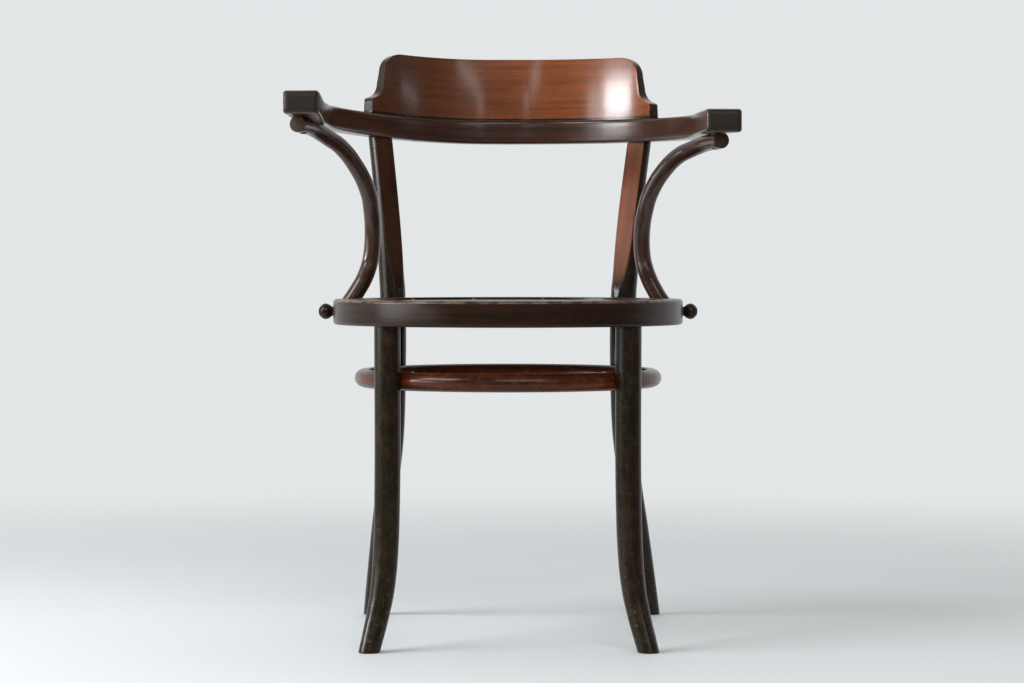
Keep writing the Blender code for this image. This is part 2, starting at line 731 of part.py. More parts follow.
def make_rear_leg(side, ring, bow, bow_clearance):
    """Make a rear leg and back post, notched round the seat ring and tenoned into the bow."""
    name = "rear_leg_" + SIDE_NAMES[side]
    facing = -math.pi / 2 - side * POST_FLAT_TURN
    leg = upright(name, rear_leg_rows(side), facing, LEG_WOOD)
    cut(leg, bow_clearance)
    top = bow_middle(side * POST_RUN)
    tenon = peg(name + "_tenon", POST_TENON_RADIUS, top - UP * 0.01, top + UP * POST_TENON_LENGTH)
    cut(leg, tenon, "UNION")
    socket = peg(name + "_socket", POST_TENON_RADIUS + TENON_GAP, top - UP * 0.01,
                 top + UP * (POST_TENON_LENGTH + GAP))
    cut(bow, socket)
    notch = peg("seat_notch_" + SIDE_NAMES[side], RING_RADIUS + GAP, UP * (RING_BOTTOM - GAP),
                UP * (SEAT_HEIGHT + GAP), LATHE_STEPS)
    cut(leg, notch)
    return leg


def add_bolt(side, ring, leg):
    """Bolt a rear leg to the seat ring, with a washer and a nut inside the ring."""
    axis = Vector((side * REAR_LEG_X, REAR_LEG_Y, 0))
    out = axis.normalized()
    head_seat = axis + out * (REAR_LEG_RADIUS - BOLT_HEAD_SINK) + UP * BOLT_HEIGHT
    inner = RING_RADIUS - RING_WIDTH
    washer_out = math.sqrt(inner**2 - WASHER_RADIUS**2) - GAP
    washer_seat = out * washer_out + UP * BOLT_HEIGHT
    nut_seat = washer_seat - out * (WASHER_THICKNESS + GAP)
    bolt_end = nut_seat - out * (NUT_HEIGHT + BOLT_PAST_NUT)
    length = (head_seat - bolt_end).length
    head = arc((0, 0), 1.0, 90, 0, 4)
    profile = [(BOLT_HEAD_RADIUS * x, BOLT_HEAD_HEIGHT * z + GAP) for x, z in head]
    profile += [(BOLT_RADIUS, GAP), (BOLT_RADIUS, -length), (0, -length)]
    profile[0] = (0, profile[0][1])
    word = SIDE_NAMES[side]
    bolt = turned("leg_bolt_" + word, profile, PARTS, STEEL, steps=16)
    point_along(bolt, head_seat, out)
    bore = BOLT_RADIUS + SCREW_GAP
    washer_profile = [(bore, 0), (WASHER_RADIUS, 0)]
    washer_profile += [(WASHER_RADIUS, -WASHER_THICKNESS), (bore, -WASHER_THICKNESS)]
    washer = turned("leg_washer_" + word, washer_profile, PARTS, STEEL, steps=16, closed=True)
    point_along(washer, washer_seat, out)
    nut_mesh = bpy.data.meshes.new("leg_nut_" + word)
    shape = bmesh.new()
    across_corners = NUT_ACROSS_FLATS / math.cos(math.radians(30))
    bmesh.ops.create_cone(shape, cap_ends=True, segments=6, radius1=across_corners / 2,
                          radius2=across_corners / 2, depth=NUT_HEIGHT)
    bmesh.ops.translate(shape, verts=shape.verts, vec=-UP * NUT_HEIGHT / 2)
    shape.to_mesh(nut_mesh)
    shape.free()
    nut = place(bpy.data.objects.new("leg_nut_" + word, nut_mesh), PARTS, STEEL)
    point_along(nut, nut_seat, out)
    bolt_hole = peg("bolt_hole_" + word, bore, bolt_end - out * 0.01, head_seat + out * 0.02, 16)
    head_hole = peg("bolt_head_hole_" + word, BOLT_HEAD_RADIUS + GAP, head_seat, head_seat + out * 0.02)
    for piece in (nut, ring, leg):
        cut(piece, bolt_hole)
    cut(leg, head_hole)


def foot_ring_point(angle):
    """Return a point on the foot ring's centreline."""
    return Vector((
        FOOT_RING_HALF_WIDTH * math.cos(angle),
        FOOT_RING_BACK + FOOT_RING_HALF_DEPTH * math.sin(angle),
        FOOT_RING_HEIGHT,
    ))


def make_foot_ring():
    """Make the bent foot ring and the wider copy of it that notches the legs."""
    angles = [math.tau * i / FOOT_RING_POINTS for i in range(FOOT_RING_POINTS)]
    points = [foot_ring_point(angle) for angle in angles]
    ring = tube("foot_ring", points, [FOOT_RING_TUBE] * len(points), True, PARTS, CREST_WOOD)
    notch = tube("foot_ring_notch", points, [FOOT_RING_TUBE + GAP] * len(points), True, CUTTERS)
    return ring, notch


def leg_centre(rows, height):
    """Return a leg's centre at a height."""
    for low, high in zip(rows, rows[1:]):
        if low[2] <= height <= high[2]:
            share = (height - low[2]) / (high[2] - low[2])
            return Vector((low[0] + (high[0] - low[0]) * share, low[1] + (high[1] - low[1]) * share, height))
    raise ValueError("the leg doesn't reach this height")


def screw_foot_ring(name, foot_ring, leg, rows):
    """Screw the foot ring to a leg from inside the ring."""
    centre = leg_centre(rows, FOOT_RING_HEIGHT)
    angles = [math.tau * i / 720 for i in range(720)]
    nearest = min((foot_ring_point(angle) for angle in angles), key=lambda point: (point - centre).length)
    direction = (centre - nearest).normalized()
    head = nearest - direction * (FOOT_RING_TUBE - SCREW_SINK)
    add_screw(name, head, direction, RING_SCREW_LENGTH, (foot_ring, leg))


def support_rows(side):
    """Return an arm support's rows of (x, y, z, radius), from the seat ring to the arm."""
    foot_x = SUPPORT_FOOT_RADIUS * math.cos(SUPPORT_FOOT_TURN)
    foot = Vector((foot_x, SUPPORT_FOOT_RADIUS * math.sin(SUPPORT_FOOT_TURN), SEAT_HEIGHT))
    run = side * (BOW_HALF - SUPPORT_END_SETBACK)
    inner, out = bow_plan(run)
    end = inner + out * (SUPPORT_END_INSET - side * SUPPORT_END_SHIFT)
    drop = SUPPORT_TOP_RADIUS - SUPPORT_FLAT_DEPTH + GAP
    end = Vector((abs(end.x), end.y, BOW_UNDERSIDE - drop))
    shares = [
        (0.160, 0.00, -0.060, -0.85), (0.025, 0.00, 0.000, -0.80), (-0.088, -0.01, 0.0625, -0.65),
        (-0.190, -0.02, 0.128, -0.45), (-0.262, -0.02, 0.190, -0.35), (-0.303, -0.03, 0.241, -0.30),
        (-0.331, -0.03, 0.305, -0.24), (-0.344, -0.02, 0.374, -0.16), (-0.340, 0.00, 0.465, 0.00),
        (-0.304, 0.05, 0.575, 0.30), (-0.232, 0.10, 0.681, 0.62), (-0.092, 0.17, 0.781, 0.80),
        (0.082, 0.25, 0.860, 0.75),
        (0.255, 0.34, 0.914, 0.60), (0.500, 0.46, 0.956, 0.35), (0.745, 0.63, 0.988, 0.15),
        (1.000, 1.00, 1.000, 0.00),
    ]
    rows = []
    lift_at_end = bow_lift(run)
    for across, forward, height, sway in smooth_rows(shares, 3):
        rise = max(height - SUPPORT_LIFT_START, 0) / (1 - SUPPORT_LIFT_START)
        lift = lift_at_end * rise**SUPPORT_LIFT_POWER
        rows.append((
            side * (foot.x + (end.x - foot.x) * across) + SUPPORT_SWAY * sway,
            foot.y + (end.y - foot.y) * forward,
            foot.z + (end.z - foot.z) * height + lift,
            SUPPORT_LOW_RADIUS + (SUPPORT_TOP_RADIUS - SUPPORT_LOW_RADIUS) * min(max(height, 0), 1),
        ))
    return rows


def make_arm_support(side, ring, bow, bow_clearance):
    """Make a bent arm support, tenoned into the seat ring and screwed up into the arm."""
    name = "arm_support_" + SIDE_NAMES[side]
    rows = support_rows(side)
    support = tube(name, [row[:3] for row in rows], [row[3] for row in rows], False, PARTS, RING_WOOD)
    foot = Vector((side * SUPPORT_FOOT_RADIUS * math.cos(SUPPORT_FOOT_TURN),
                   SUPPORT_FOOT_RADIUS * math.sin(SUPPORT_FOOT_TURN), SEAT_HEIGHT))
    below = peg(name + "_foot_cut", SUPPORT_LOW_RADIUS * 3, foot - UP * 0.05, foot + UP * GAP)
    cut(support, below)
    end = Vector(rows[-1][:3])
    before = Vector(rows[-5][:3])
    from_face = [end.lerp(before, run / (end - before).length) for run in (0.0015, SADDLE_LENGTH)]
    saddle = block(name + "_saddle", *from_face, SADDLE_HALF_WIDTH, SUPPORT_TOP_RADIUS * 2)
    cut(support, saddle, "UNION")
    cut(support, bow_clearance)
    tenon = peg(name + "_tenon", SUPPORT_TENON_RADIUS, foot - UP * SUPPORT_TENON_LENGTH, foot + UP * 0.006)
    cut(support, tenon, "UNION")
    socket = peg(name + "_socket", SUPPORT_TENON_RADIUS + TENON_GAP,
                 foot - UP * (SUPPORT_TENON_LENGTH + GAP), foot + UP * 0.01)
    cut(ring, socket)
    spot = end.lerp(before, 0.018 / (end - before).length)
    head = spot - UP * (SUPPORT_TOP_RADIUS - SCREW_SINK)
    add_screw("support_screw_" + SIDE_NAMES[side], head, UP, SUPPORT_SCREW_LENGTH, (support, bow))
    return support


def make_side_knob(side, ring, support):
    """Make a turned knob whose shank goes through the ring's side and the support's tenon."""
    out = Vector((side * math.cos(SUPPORT_FOOT_TURN), math.sin(SUPPORT_FOOT_TURN), 0))
    base = out * (RING_RADIUS + GAP) + UP * (RING_BOTTOM + RING_DEPTH / 2)
    shares = [
        (0.00, 1.00), (0.38, 0.975), (0.70, 0.86), (0.93, 0.72), (1.00, 0.585), (0.95, 0.44), (0.82, 0.31),
        (0.62, 0.18), (KNOB_NECK_RADIUS / KNOB_RADIUS, 0.08), (KNOB_NECK_RADIUS / KNOB_RADIUS, 0.00),
    ]
    profile = [(KNOB_RADIUS * across, KNOB_LENGTH * height) for across, height in shares]
    profile += [(KNOB_SHANK_RADIUS, 0), (KNOB_SHANK_RADIUS, -KNOB_SHANK_LENGTH), (0, -KNOB_SHANK_LENGTH)]
    name = "side_knob_" + SIDE_NAMES[side]
    knob = turned(name, profile, PARTS, RING_WOOD, steps=20)
    point_along(knob, base, out)
    socket = peg(name + "_socket", KNOB_SHANK_RADIUS + TENON_GAP,
                 base - out * (KNOB_SHANK_LENGTH + GAP), base + out * 0.01)
    cut(ring, socket)
    cut(support, socket)
    return knob


def screw_post(side, leg, bow):
    """Screw the bow to a post's tenon from the bow's outer face."""
    inner, out = bow_plan(side * POST_RUN)
    face = inner + out * (bow_thickness(POST_RUN) - SCREW_SINK)
    head = face + UP * (bow_bottom(side * POST_RUN) + POST_SCREW_RISE)
    add_screw("post_screw_" + SIDE_NAMES[side], head, -out, POST_SCREW_LENGTH, (bow, leg))


def screw_crest(bow, crest):
    """Screw the crest to the bow from underneath."""
    for name, run in (("left", -CREST_SCREW_RUN), ("middle", 0.0), ("right", CREST_SCREW_RUN)):
        inner, out = bow_plan(run)
        spot = inner + out * (CREST_SETBACK + CREST_THICKNESS / 2)
        head = spot + UP * (bow_bottom(run) + SCREW_SINK)
        add_screw("crest_screw_" + name, head, UP, CREST_SCREW_LENGTH, (bow, crest))


def build_chair():
    """Make every piece and cut each joint."""
    ring = make_seat_ring()
    panel = make_seat_panel()
    bow = make_arm_bow()
    crest = make_crest()
    foot_ring, foot_ring_notch = make_foot_ring()
    bow_clearance = loft("bow_clearance", bow_rings(GAP), CUTTERS)
    cut(crest, loft("crest_seat", bow_rings(-GAP), CUTTERS))
    for side in (LEFT, RIGHT):
        word = SIDE_NAMES[side]
        front_leg = make_front_leg(side, ring)
        rear_leg = make_rear_leg(side, ring, bow, bow_clearance)
        for leg in (front_leg, rear_leg):
            cut(leg, foot_ring_notch)
        screw_foot_ring("foot_ring_screw_front_" + word, foot_ring, front_leg, front_leg_rows(side))
        screw_foot_ring("foot_ring_screw_rear_" + word, foot_ring, rear_leg, rear_leg_rows(side))
        add_bolt(side, ring, rear_leg)
        screw_post(side, rear_leg, bow)
        support = make_arm_support(side, ring, bow, bow_clearance)
        make_side_knob(side, ring, support)
    screw_crest(bow, crest)
    add_nails(ring, panel)
    middle_x = BOW_SWAY + BOW_YAW * ARM_REACH
    middle_y = (BOW_REAR + BOW_THICKNESS - RING_RADIUS) / 2
    ROOT.location = (-middle_x, -middle_y, 0)


build_chair()
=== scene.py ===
"""The looks of the bentwood armchair: finer wooden pieces and their varnish.

Places are measured from the seat ring's centre at floor level, as in the CAD source,
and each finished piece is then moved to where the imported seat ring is.
"""

import math

import bmesh
import bpy
import numpy as np
from mathutils import Matrix, Vector


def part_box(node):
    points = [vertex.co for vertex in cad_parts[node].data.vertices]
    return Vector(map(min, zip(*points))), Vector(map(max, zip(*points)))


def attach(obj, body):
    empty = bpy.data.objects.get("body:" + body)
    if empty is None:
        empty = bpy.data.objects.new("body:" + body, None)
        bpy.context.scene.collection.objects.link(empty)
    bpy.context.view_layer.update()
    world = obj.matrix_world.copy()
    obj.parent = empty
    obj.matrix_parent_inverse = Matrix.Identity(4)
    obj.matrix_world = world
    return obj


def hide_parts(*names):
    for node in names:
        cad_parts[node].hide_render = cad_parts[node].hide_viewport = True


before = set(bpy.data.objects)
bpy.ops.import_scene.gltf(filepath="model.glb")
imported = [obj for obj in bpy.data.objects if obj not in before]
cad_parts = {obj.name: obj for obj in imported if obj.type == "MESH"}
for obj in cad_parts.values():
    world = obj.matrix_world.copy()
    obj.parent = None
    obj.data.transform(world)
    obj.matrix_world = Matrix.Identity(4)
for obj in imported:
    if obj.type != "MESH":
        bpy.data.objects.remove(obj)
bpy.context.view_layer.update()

RING_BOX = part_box("seat_ring")
CENTRE = Vector(((RING_BOX[0].x + RING_BOX[1].x) / 2, (RING_BOX[0].y + RING_BOX[1].y) / 2, 0))
BODY = "root"
GAP = 0.0003

# Seat ring and panel
SEAT_HEIGHT = RING_BOX[1].z
RING_BOTTOM = RING_BOX[0].z
RING_RADIUS = (RING_BOX[1].y - RING_BOX[0].y) / 2
RING_WIDTH = 0.048
RING_ROUNDING = 0.004
RING_CORNER = (SEAT_HEIGHT - RING_BOTTOM + RING_WIDTH) / 2
RING_INNER_ROUNDING = 0.002
RIM_WIDTH = 0.040
REBATE_RADIUS = RING_RADIUS - RIM_WIDTH
PANEL_RECESS = 0.003
PANEL_THICKNESS = 0.005
PANEL_ROUNDING = 0.001
LEDGE_HEIGHT = SEAT_HEIGHT - PANEL_RECESS - PANEL_THICKNESS - GAP

# Front legs
FRONT_LEG_INSET = 0.0197
FRONT_LEG_TURN = math.radians(-42.8)
FRONT_FOOT_OUT = 0.0226
FRONT_FOOT_SWAY = 0.0012
FRONT_FOOT_FORWARD = 0.027
FRONT_LEG_RADIUS = 0.016
FRONT_FOOT_RADIUS = 0.01275

# Rear legs
REAR_LEG_OUTSET = 0.004
REAR_LEG_TURN = math.radians(47.44)
REAR_FOOT_OUT = 0.0352
REAR_FOOT_SWAY = 0.0045
REAR_FOOT_BACK = 0.089
REAR_LEG_RADIUS = 0.01675
REAR_FOOT_RADIUS = 0.0125
POST_RADIUS = 0.0155
POST_FLAT_DEPTH = 0.0074
POST_FLAT_TURN = math.radians(38)
FOOT_ROUNDING = 0.0015
FLAT_ROUNDING = 0.0009
FLAT_CORNER = math.radians(7)
BOLT_HEAD_RADIUS = 0.0065
BOLT_HEAD_SINK = 0.0032
BOLT_RISE = 0.0125
BOLT_CUT_LENGTH = 0.02
POST_OVERRUN = 0.003
NO_FLAT = 0.0001

# Foot ring
FOOT_RING_HEIGHT = (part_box("foot_ring")[0].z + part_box("foot_ring")[1].z) / 2
FOOT_RING_SIDE_INSET = 0.0375
FOOT_RING_END_INSET = 0.032
FOOT_RING_BACK = 0.010
FOOT_RING_TUBE = 0.01125

# Arm bow
BOW_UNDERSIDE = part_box("arm_bow")[0].z
BOW_SIDE_OUTSET = 0.009
BOW_REAR_OUTSET = 0.025
BOW_THICKNESS = 0.028
BOW_HEIGHT_REAR = 0.031
BOW_HEIGHT_TIP = 0.0285
BOW_ROUNDING = 0.004
ARM_REACH = 0.150
ARM_SPLAY = 0.006
ARM_TIP_THICKNESS = 0.0445
ARM_FLARE = 0.100
ARM_TIP_ROUNDING = 0.0065
POST_RUN = 0.184
LEFT_RISE_START = 0.030
LEFT_RISE_LENGTH = 0.310
LEFT_ARM_RISE = 0.0122
LEFT_TIP_RISE = 0.0103
LEFT_TIP_CURL = 0.078
BOW_SWAY = 0.004
BOW_YAW = 0.011

# Crest
CREST_HEIGHT = 0.0815
CREST_THICKNESS = 0.015
CREST_TOP_SHARE = 0.66
CREST_SETBACK = 0.003
CREST_LEAN = 0.003
CREST_SHIFT = 0.002
CREST_FOOT_HALF = 0.212
CREST_FOOT_HEIGHT = 0.0200
CREST_FOOT_ROUNDING = 0.004
CREST_SCOOP_HEIGHT = 0.0210
CREST_WAIST_HALF = 0.190
CREST_SHOULDER_HALF = 0.187
CREST_CORNER_WIDTH = 0.030
CREST_CORNER_HEIGHT = 0.026
CREST_EDGE = 0.0022
CREST_GROOVE_DEPTH = 0.0022
CREST_GROOVE_HEIGHT = 0.0024

# Arm supports and knobs
SUPPORT_FOOT_INSET = 0.0262
SUPPORT_FOOT_TURN = math.radians(5)
SUPPORT_END_SETBACK = 0.025
SUPPORT_END_INSET = 0.0257
SUPPORT_END_SHIFT = 0.0036
SUPPORT_LOW_RADIUS = 0.0105
SUPPORT_TOP_RADIUS = 0.0102
SUPPORT_FLAT_DEPTH = 0.0016
SUPPORT_SWAY = 0.0034
SUPPORT_EDGE = 0.0008
SUPPORT_FOOT_CUT = 0.05
SUPPORT_SCREW_RUN = 0.018
SADDLE_START = 0.0015
SADDLE_LENGTH = 0.022
SADDLE_HALF_WIDTH = 0.0056
SUPPORT_LIFT_START = 0.45
SUPPORT_LIFT_POWER = 4
KNOB_LENGTH = 0.0205
KNOB_RADIUS = 0.010
KNOB_NECK_RADIUS = 0.0055

# Screw heads
SCREW_HEAD_RADIUS = 0.004
SCREW_HEAD_HEIGHT = 0.0025
SCREW_SINK = 0.0004
CREST_SCREW_RUN = 0.130
POST_SCREW_RISE = 0.0085

# Places that follow the seat ring, as in the CAD source
FRONT_LEG_X = (RING_RADIUS - FRONT_LEG_INSET) * math.cos(FRONT_LEG_TURN)
FRONT_LEG_Y = (RING_RADIUS - FRONT_LEG_INSET) * math.sin(FRONT_LEG_TURN)
REAR_LEG_X = (RING_RADIUS + REAR_LEG_OUTSET) * math.cos(REAR_LEG_TURN)
REAR_LEG_Y = (RING_RADIUS + REAR_LEG_OUTSET) * math.sin(REAR_LEG_TURN)
FOOT_RING_HALF_WIDTH = RING_RADIUS - FOOT_RING_SIDE_INSET
FOOT_RING_HALF_DEPTH = RING_RADIUS - FOOT_RING_END_INSET
SUPPORT_FOOT_RADIUS = RING_RADIUS - SUPPORT_FOOT_INSET
BOW_SIDE = RING_RADIUS + BOW_SIDE_OUTSET
BOW_REAR = RING_RADIUS + BOW_REAR_OUTSET
BOW_QUARTER = math.pi / 4 * (BOW_SIDE + BOW_REAR)
BOW_HALF = BOW_QUARTER + ARM_REACH
CREST_SCOOP_TOP = CREST_FOOT_HEIGHT + CREST_SCOOP_HEIGHT
CREST_CORNER_START = CREST_HEIGHT - CREST_CORNER_HEIGHT

# Facets of the finished pieces
LEG_ARC_SIDES = 40
LEG_CORNER_SIDES = 7
LEG_FLAT_SIDES = 5
RING_STEPS = 240
TUBE_SIDES = 28
BOW_STEPS = 90
ARM_STEPS = 44
BOW_PATH_STEPS = 110
CREST_COLUMNS = 96
SMOOTH_ANGLE = math.radians(40)

# How far a cutter goes on past the surface that it cuts
CUTTER_OVERRUN = 0.004

# The bend from which an edge counts as worn, and how many vertices it spreads over
WORN_EDGE_BEND = 0.35
WORN_EDGE_SPREAD = 2

# The width over which a planed flat's stain fades out, how many widths it goes past the flat,
# the flat's depth at which the stain starts, and how much deeper it is full
PLANED_BLEND = 0.0012
PLANED_OVERLAP = 1.1
PLANED_START = 0.0005
PLANED_DEPTH = 0.003

# How many vertices are measured against a path at a time
BATCH = 4000

# Camera, from the photograph's vanishing lines and the chair's own proportions
IMAGE_WIDTH = 1024
FOCAL_PIXELS = 3141
SENSOR_WIDTH = 36.0
CAMERA_RIGHT = 0.005
CAMERA_DISTANCE = 3.96
CAMERA_HEIGHT = 0.476
CAMERA_PITCH = math.radians(1.487)

# The room's brightness before and behind the chair, and its colours
ROOM_FRONT = 0.16
ROOM_BACK = 0.80
ROOM_COLOR = (0.965, 0.99, 1.0)
DAYLIGHT = (0.93, 0.97, 1.0)

UP = Vector((0, 0, 1))
RIGHT, LEFT = 1, -1
SIDE_NAMES = {RIGHT: "right", LEFT: "left"}

# Painted light: how much of the planed flat's lighter colour each post gets, most where it faces the lamps
FLAT_PAINTED_LIGHT = {RIGHT: 1.0, LEFT: 0.25}


def smoothstep(t):
    """Return t eased at both ends and kept between 0 and 1."""
    t = min(max(t, 0.0), 1.0)
    return t * t * (3 - 2 * t)


def between(first, last, share):
    """Return the value at a share of the way from first to last."""
    return first + (last - first) * share


def around(radius, angle, height=0.0):
    """Return the point at an angle round the upright axis."""
    return Vector((radius * math.cos(angle), radius * math.sin(angle), height))


def arc(centre, radius, start, end, steps):
    """Return points on an arc, with angles in degrees."""
    angles = [math.radians(between(start, end, i / steps)) for i in range(steps + 1)]
    return [(centre[0] + radius * math.cos(a), centre[1] + radius * math.sin(a)) for a in angles]


def smooth_rows(rows, steps):
    """Return rows of numbers on a smooth curve through the given rows, however they are spaced."""
    spans = [math.dist(a, b) for a, b in zip(rows, rows[1:])]
    slopes = [[(q - p) / span for p, q in zip(a, b)] for a, b, span in zip(rows, rows[1:], spans)]
    bends = [slopes[0]]
    for before, after, low, high in zip(slopes, slopes[1:], spans, spans[1:]):
        bends.append([(p * high + q * low) / (low + high) for p, q in zip(before, after)])
    bends.append(slopes[-1])
    result = []
    for a, b, start, end, span in zip(rows, rows[1:], bends, bends[1:], spans):
        for k in range(steps):
            t = k / steps
            result.append([
                p + (q - p) * t * t * (3 - 2 * t) + span * t * (1 - t) * ((1 - t) * u - t * v)
                for p, q, u, v in zip(a, b, start, end)
            ])
    result.append(list(rows[-1]))
    return result


def object_from(name, shape, closed=True):
    """Return an object made from a bmesh, with the faces of a closed one turned outwards."""
    if closed:
        bmesh.ops.recalc_face_normals(shape, faces=shape.faces)
    mesh = bpy.data.meshes.new(name)
    shape.to_mesh(mesh)
    shape.free()
    obj = bpy.data.objects.new(name, mesh)
    bpy.context.scene.collection.objects.link(obj)
    return obj


def loft(name, rings, cyclic=False):
    """Return a closed solid through rings of as many points each."""
    shape = bmesh.new()
    rows = [[shape.verts.new(point) for point in ring] for ring in rings]
    count = len(rows[0])
    pairs = list(zip(rows, rows[1:] + (rows[:1] if cyclic else [])))
    for low, high in pairs:
        for i in range(count):
            j = (i + 1) % count
            shape.faces.new((low[i], low[j], high[j], high[i]))
    if not cyclic:
        shape.faces.new(rows[0][::-1])
        shape.faces.new(rows[-1])
    return object_from(name, shape)


def peg(radius, start, end, steps=40):
    """Return a plain round cutter from start to end."""
    run = end - start
    shape = bmesh.new()
    bmesh.ops.create_cone(shape, cap_ends=True, segments=steps, radius1=radius, radius2=radius,
                          depth=run.length)
    bmesh.ops.translate(shape, verts=shape.verts, vec=UP * (run.length / 2))
    bmesh.ops.rotate(shape, verts=shape.verts, matrix=run.to_track_quat("Z", "Y").to_matrix())
    bmesh.ops.translate(shape, verts=shape.verts, vec=start)
    return object_from("cutter", shape)


def block(start, end, half_width, height):
    """Return an upright block over the level run from start to end."""
    along = Vector((end.x - start.x, end.y - start.y, 0))
    shape = bmesh.new()
    bmesh.ops.create_cube(shape, size=1.0)
    bmesh.ops.scale(shape, verts=shape.verts, vec=(along.length, 2 * half_width, height))
    bmesh.ops.translate(shape, verts=shape.verts, vec=(along.length / 2, 0, height / 2))
    turn = Matrix.Rotation(math.atan2(along.y, along.x), 3, "Z")
    bmesh.ops.rotate(shape, verts=shape.verts, matrix=turn)
    bmesh.ops.translate(shape, verts=shape.verts, vec=start)
    return object_from("cutter", shape)


def cut(target, cutters, operation="DIFFERENCE"):
    """Cut an object with others, or join them to it, and remove them."""
    for cutter in cutters:
        boolean = target.modifiers.new("cut", "BOOLEAN")
        boolean.operation = operation
        boolean.solver = "EXACT"
        boolean.object = cutter
        bake(target)
        bpy.data.objects.remove(cutter, do_unlink=True)


def bake(obj):
    """Replace an object's mesh by what its modifiers make of it."""
    bpy.context.view_layer.update()
    evaluated = obj.evaluated_get(bpy.context.evaluated_depsgraph_get())
    mesh = bpy.data.meshes.new_from_object(evaluated)
    mesh.name = obj.name
    obj.modifiers.clear()
    obj.data = mesh


def soften(obj, width, angle, segments):
    """Round an object's sharp edges."""
    edge = obj.modifiers.new("edge", "BEVEL")
    edge.width = width
    edge.segments = segments
    edge.limit_method = "ANGLE"
    edge.angle_limit = math.radians(angle)
    bake(obj)


def tube_rings(points, radii, cyclic=False):
    """Return round rings along a path, each turned from the last by the path's own bend."""
    count = len(points)
    rings = []
    side = None
    for i, (point, radius) in enumerate(zip(points, radii)):
        before = points[(i - 1) % count] if cyclic else points[max(i - 1, 0)]
        after = points[(i + 1) % count] if cyclic else points[min(i + 1, count - 1)]
        along = (after - before).normalized()
        side = (side - along * side.dot(along) if side else UP.cross(along)).normalized()
        other = along.cross(side)
        circle = [around(radius, math.tau * k / TUBE_SIDES) for k in range(TUBE_SIDES)]
        rings.append([point + side * spot.x + other * spot.y for spot in circle])
    return rings


def turned(name, profile, steps, axis=UP, base=Vector((0, 0, 0)), closed=False):
    """Return a turned piece from a profile of (radius, height) points."""
    turn = axis.to_track_quat("Z", "Y")
    shape = bmesh.new()
    rows = []
    for radius, height in profile:
        angles = [math.tau * i / steps for i in range(steps if radius > 1e-6 else 1)]
        rows.append([shape.verts.new(base + turn @ around(radius, angle, height)) for angle in angles])
    for low, high in zip(rows, rows[1:] + (rows[:1] if closed else [])):
        for i in range(steps):
            j = (i + 1) % steps
            corners = [low[i % len(low)], low[j % len(low)], high[j % len(high)], high[i % len(high)]]
            distinct = list(dict.fromkeys(corners))
            if len(distinct) > 2:
                shape.faces.new(distinct)
    return object_from(name, shape)


def straighten(obj, path, cyclic=False):
    """Write where each corner of the mesh was in the straight billet, as the attribute billet.

    The first number is the run along the path, and the others are across it, so that
    grain made from this attribute follows the bend. How far a vertex faces along the
    billet goes into the attribute end_grain.
    """
    mesh = obj.data
    points = np.array([tuple(p) for p in path])
    starts = points if cyclic else points[:-1]
    spans = (np.roll(points, -1, axis=0) if cyclic else points[1:]) - starts
    lengths = np.linalg.norm(spans, axis=1)
    runs = np.concatenate([[0], np.cumsum(lengths)])
    along = spans / lengths[:, None]
    vertices = np.empty((len(mesh.vertices), 3))
    normals = np.empty_like(vertices)
    mesh.vertices.foreach_get("co", vertices.ravel())
    mesh.vertices.foreach_get("normal", normals.ravel())
    billet = np.empty_like(vertices)
    facing = np.empty(len(vertices))
    for first in range(0, len(vertices), BATCH):
        batch = slice(first, first + BATCH)
        some = vertices[batch]
        share = np.clip(((some[:, None, :] - starts) * along).sum(2), 0, lengths)
        foot = starts + along * share[..., None]
        nearest = np.linalg.norm(some[:, None, :] - foot, axis=2).argmin(1)
        rows = np.arange(len(some))
        tangent = along[nearest]
        across = some - foot[rows, nearest]
        facing[batch] = np.abs((normals[batch] * tangent).sum(1))
        side = np.cross(tangent, UP)
        side[np.linalg.norm(side, axis=1) < 0.3] = (1.0, 0.0, 0.0)
        side -= tangent * (side * tangent).sum(1)[:, None]
        side /= np.linalg.norm(side, axis=1)[:, None]
        billet[batch, 0] = runs[nearest] + share[rows, nearest] + (across * tangent).sum(1)
        billet[batch, 1] = (across * side).sum(1)
        billet[batch, 2] = (across * np.cross(side, tangent)).sum(1)
    corners = np.empty(len(mesh.loops), np.int64)
    mesh.loops.foreach_get("vertex_index", corners)
    values = billet[corners]
    if cyclic:
        totals = np.empty(len(mesh.polygons), np.int64)
        mesh.polygons.foreach_get("loop_total", totals)
        face = np.repeat(np.arange(len(totals)), totals)
        highest = np.full(len(totals), -np.inf)
        np.maximum.at(highest, face, values[:, 0])
        values[highest[face] - values[:, 0] > runs[-1] / 2, 0] += runs[-1]
    attribute = mesh.attributes.new("billet", "FLOAT_VECTOR", "CORNER")
    attribute.data.foreach_set("vector", values.astype(np.float32).ravel())
    write_values(obj, "end_grain", facing)


def write_values(obj, name, values):
    """Write one number for each vertex as an attribute of the mesh."""
    attribute = obj.data.attributes.new(name, "FLOAT", "POINT")
    attribute.data.foreach_set("value", np.asarray(values, np.float32))


def mark_edges(obj):
    """Write how far each vertex lies on a convex edge, from 0 to 1, as the attribute worn_edge."""
    shape = bmesh.new()
    shape.from_mesh(obj.data)
    shape.verts.ensure_lookup_table()
    bends = [max([edge.calc_face_angle_signed(0.0) for edge in vertex.link_edges], default=0.0)
             for vertex in shape.verts]
    near = [[edge.other_vert(vertex).index for edge in vertex.link_edges] for vertex in shape.verts]
    shape.free()
    values = np.clip(np.array(bends) / WORN_EDGE_BEND, 0, 1)
    for _ in range(WORN_EDGE_SPREAD):
        means = [sum(values[others]) / max(len(others), 1) for others in near]
        values = between(values, np.array(means), 0.5)
    write_values(obj, "worn_edge", values)


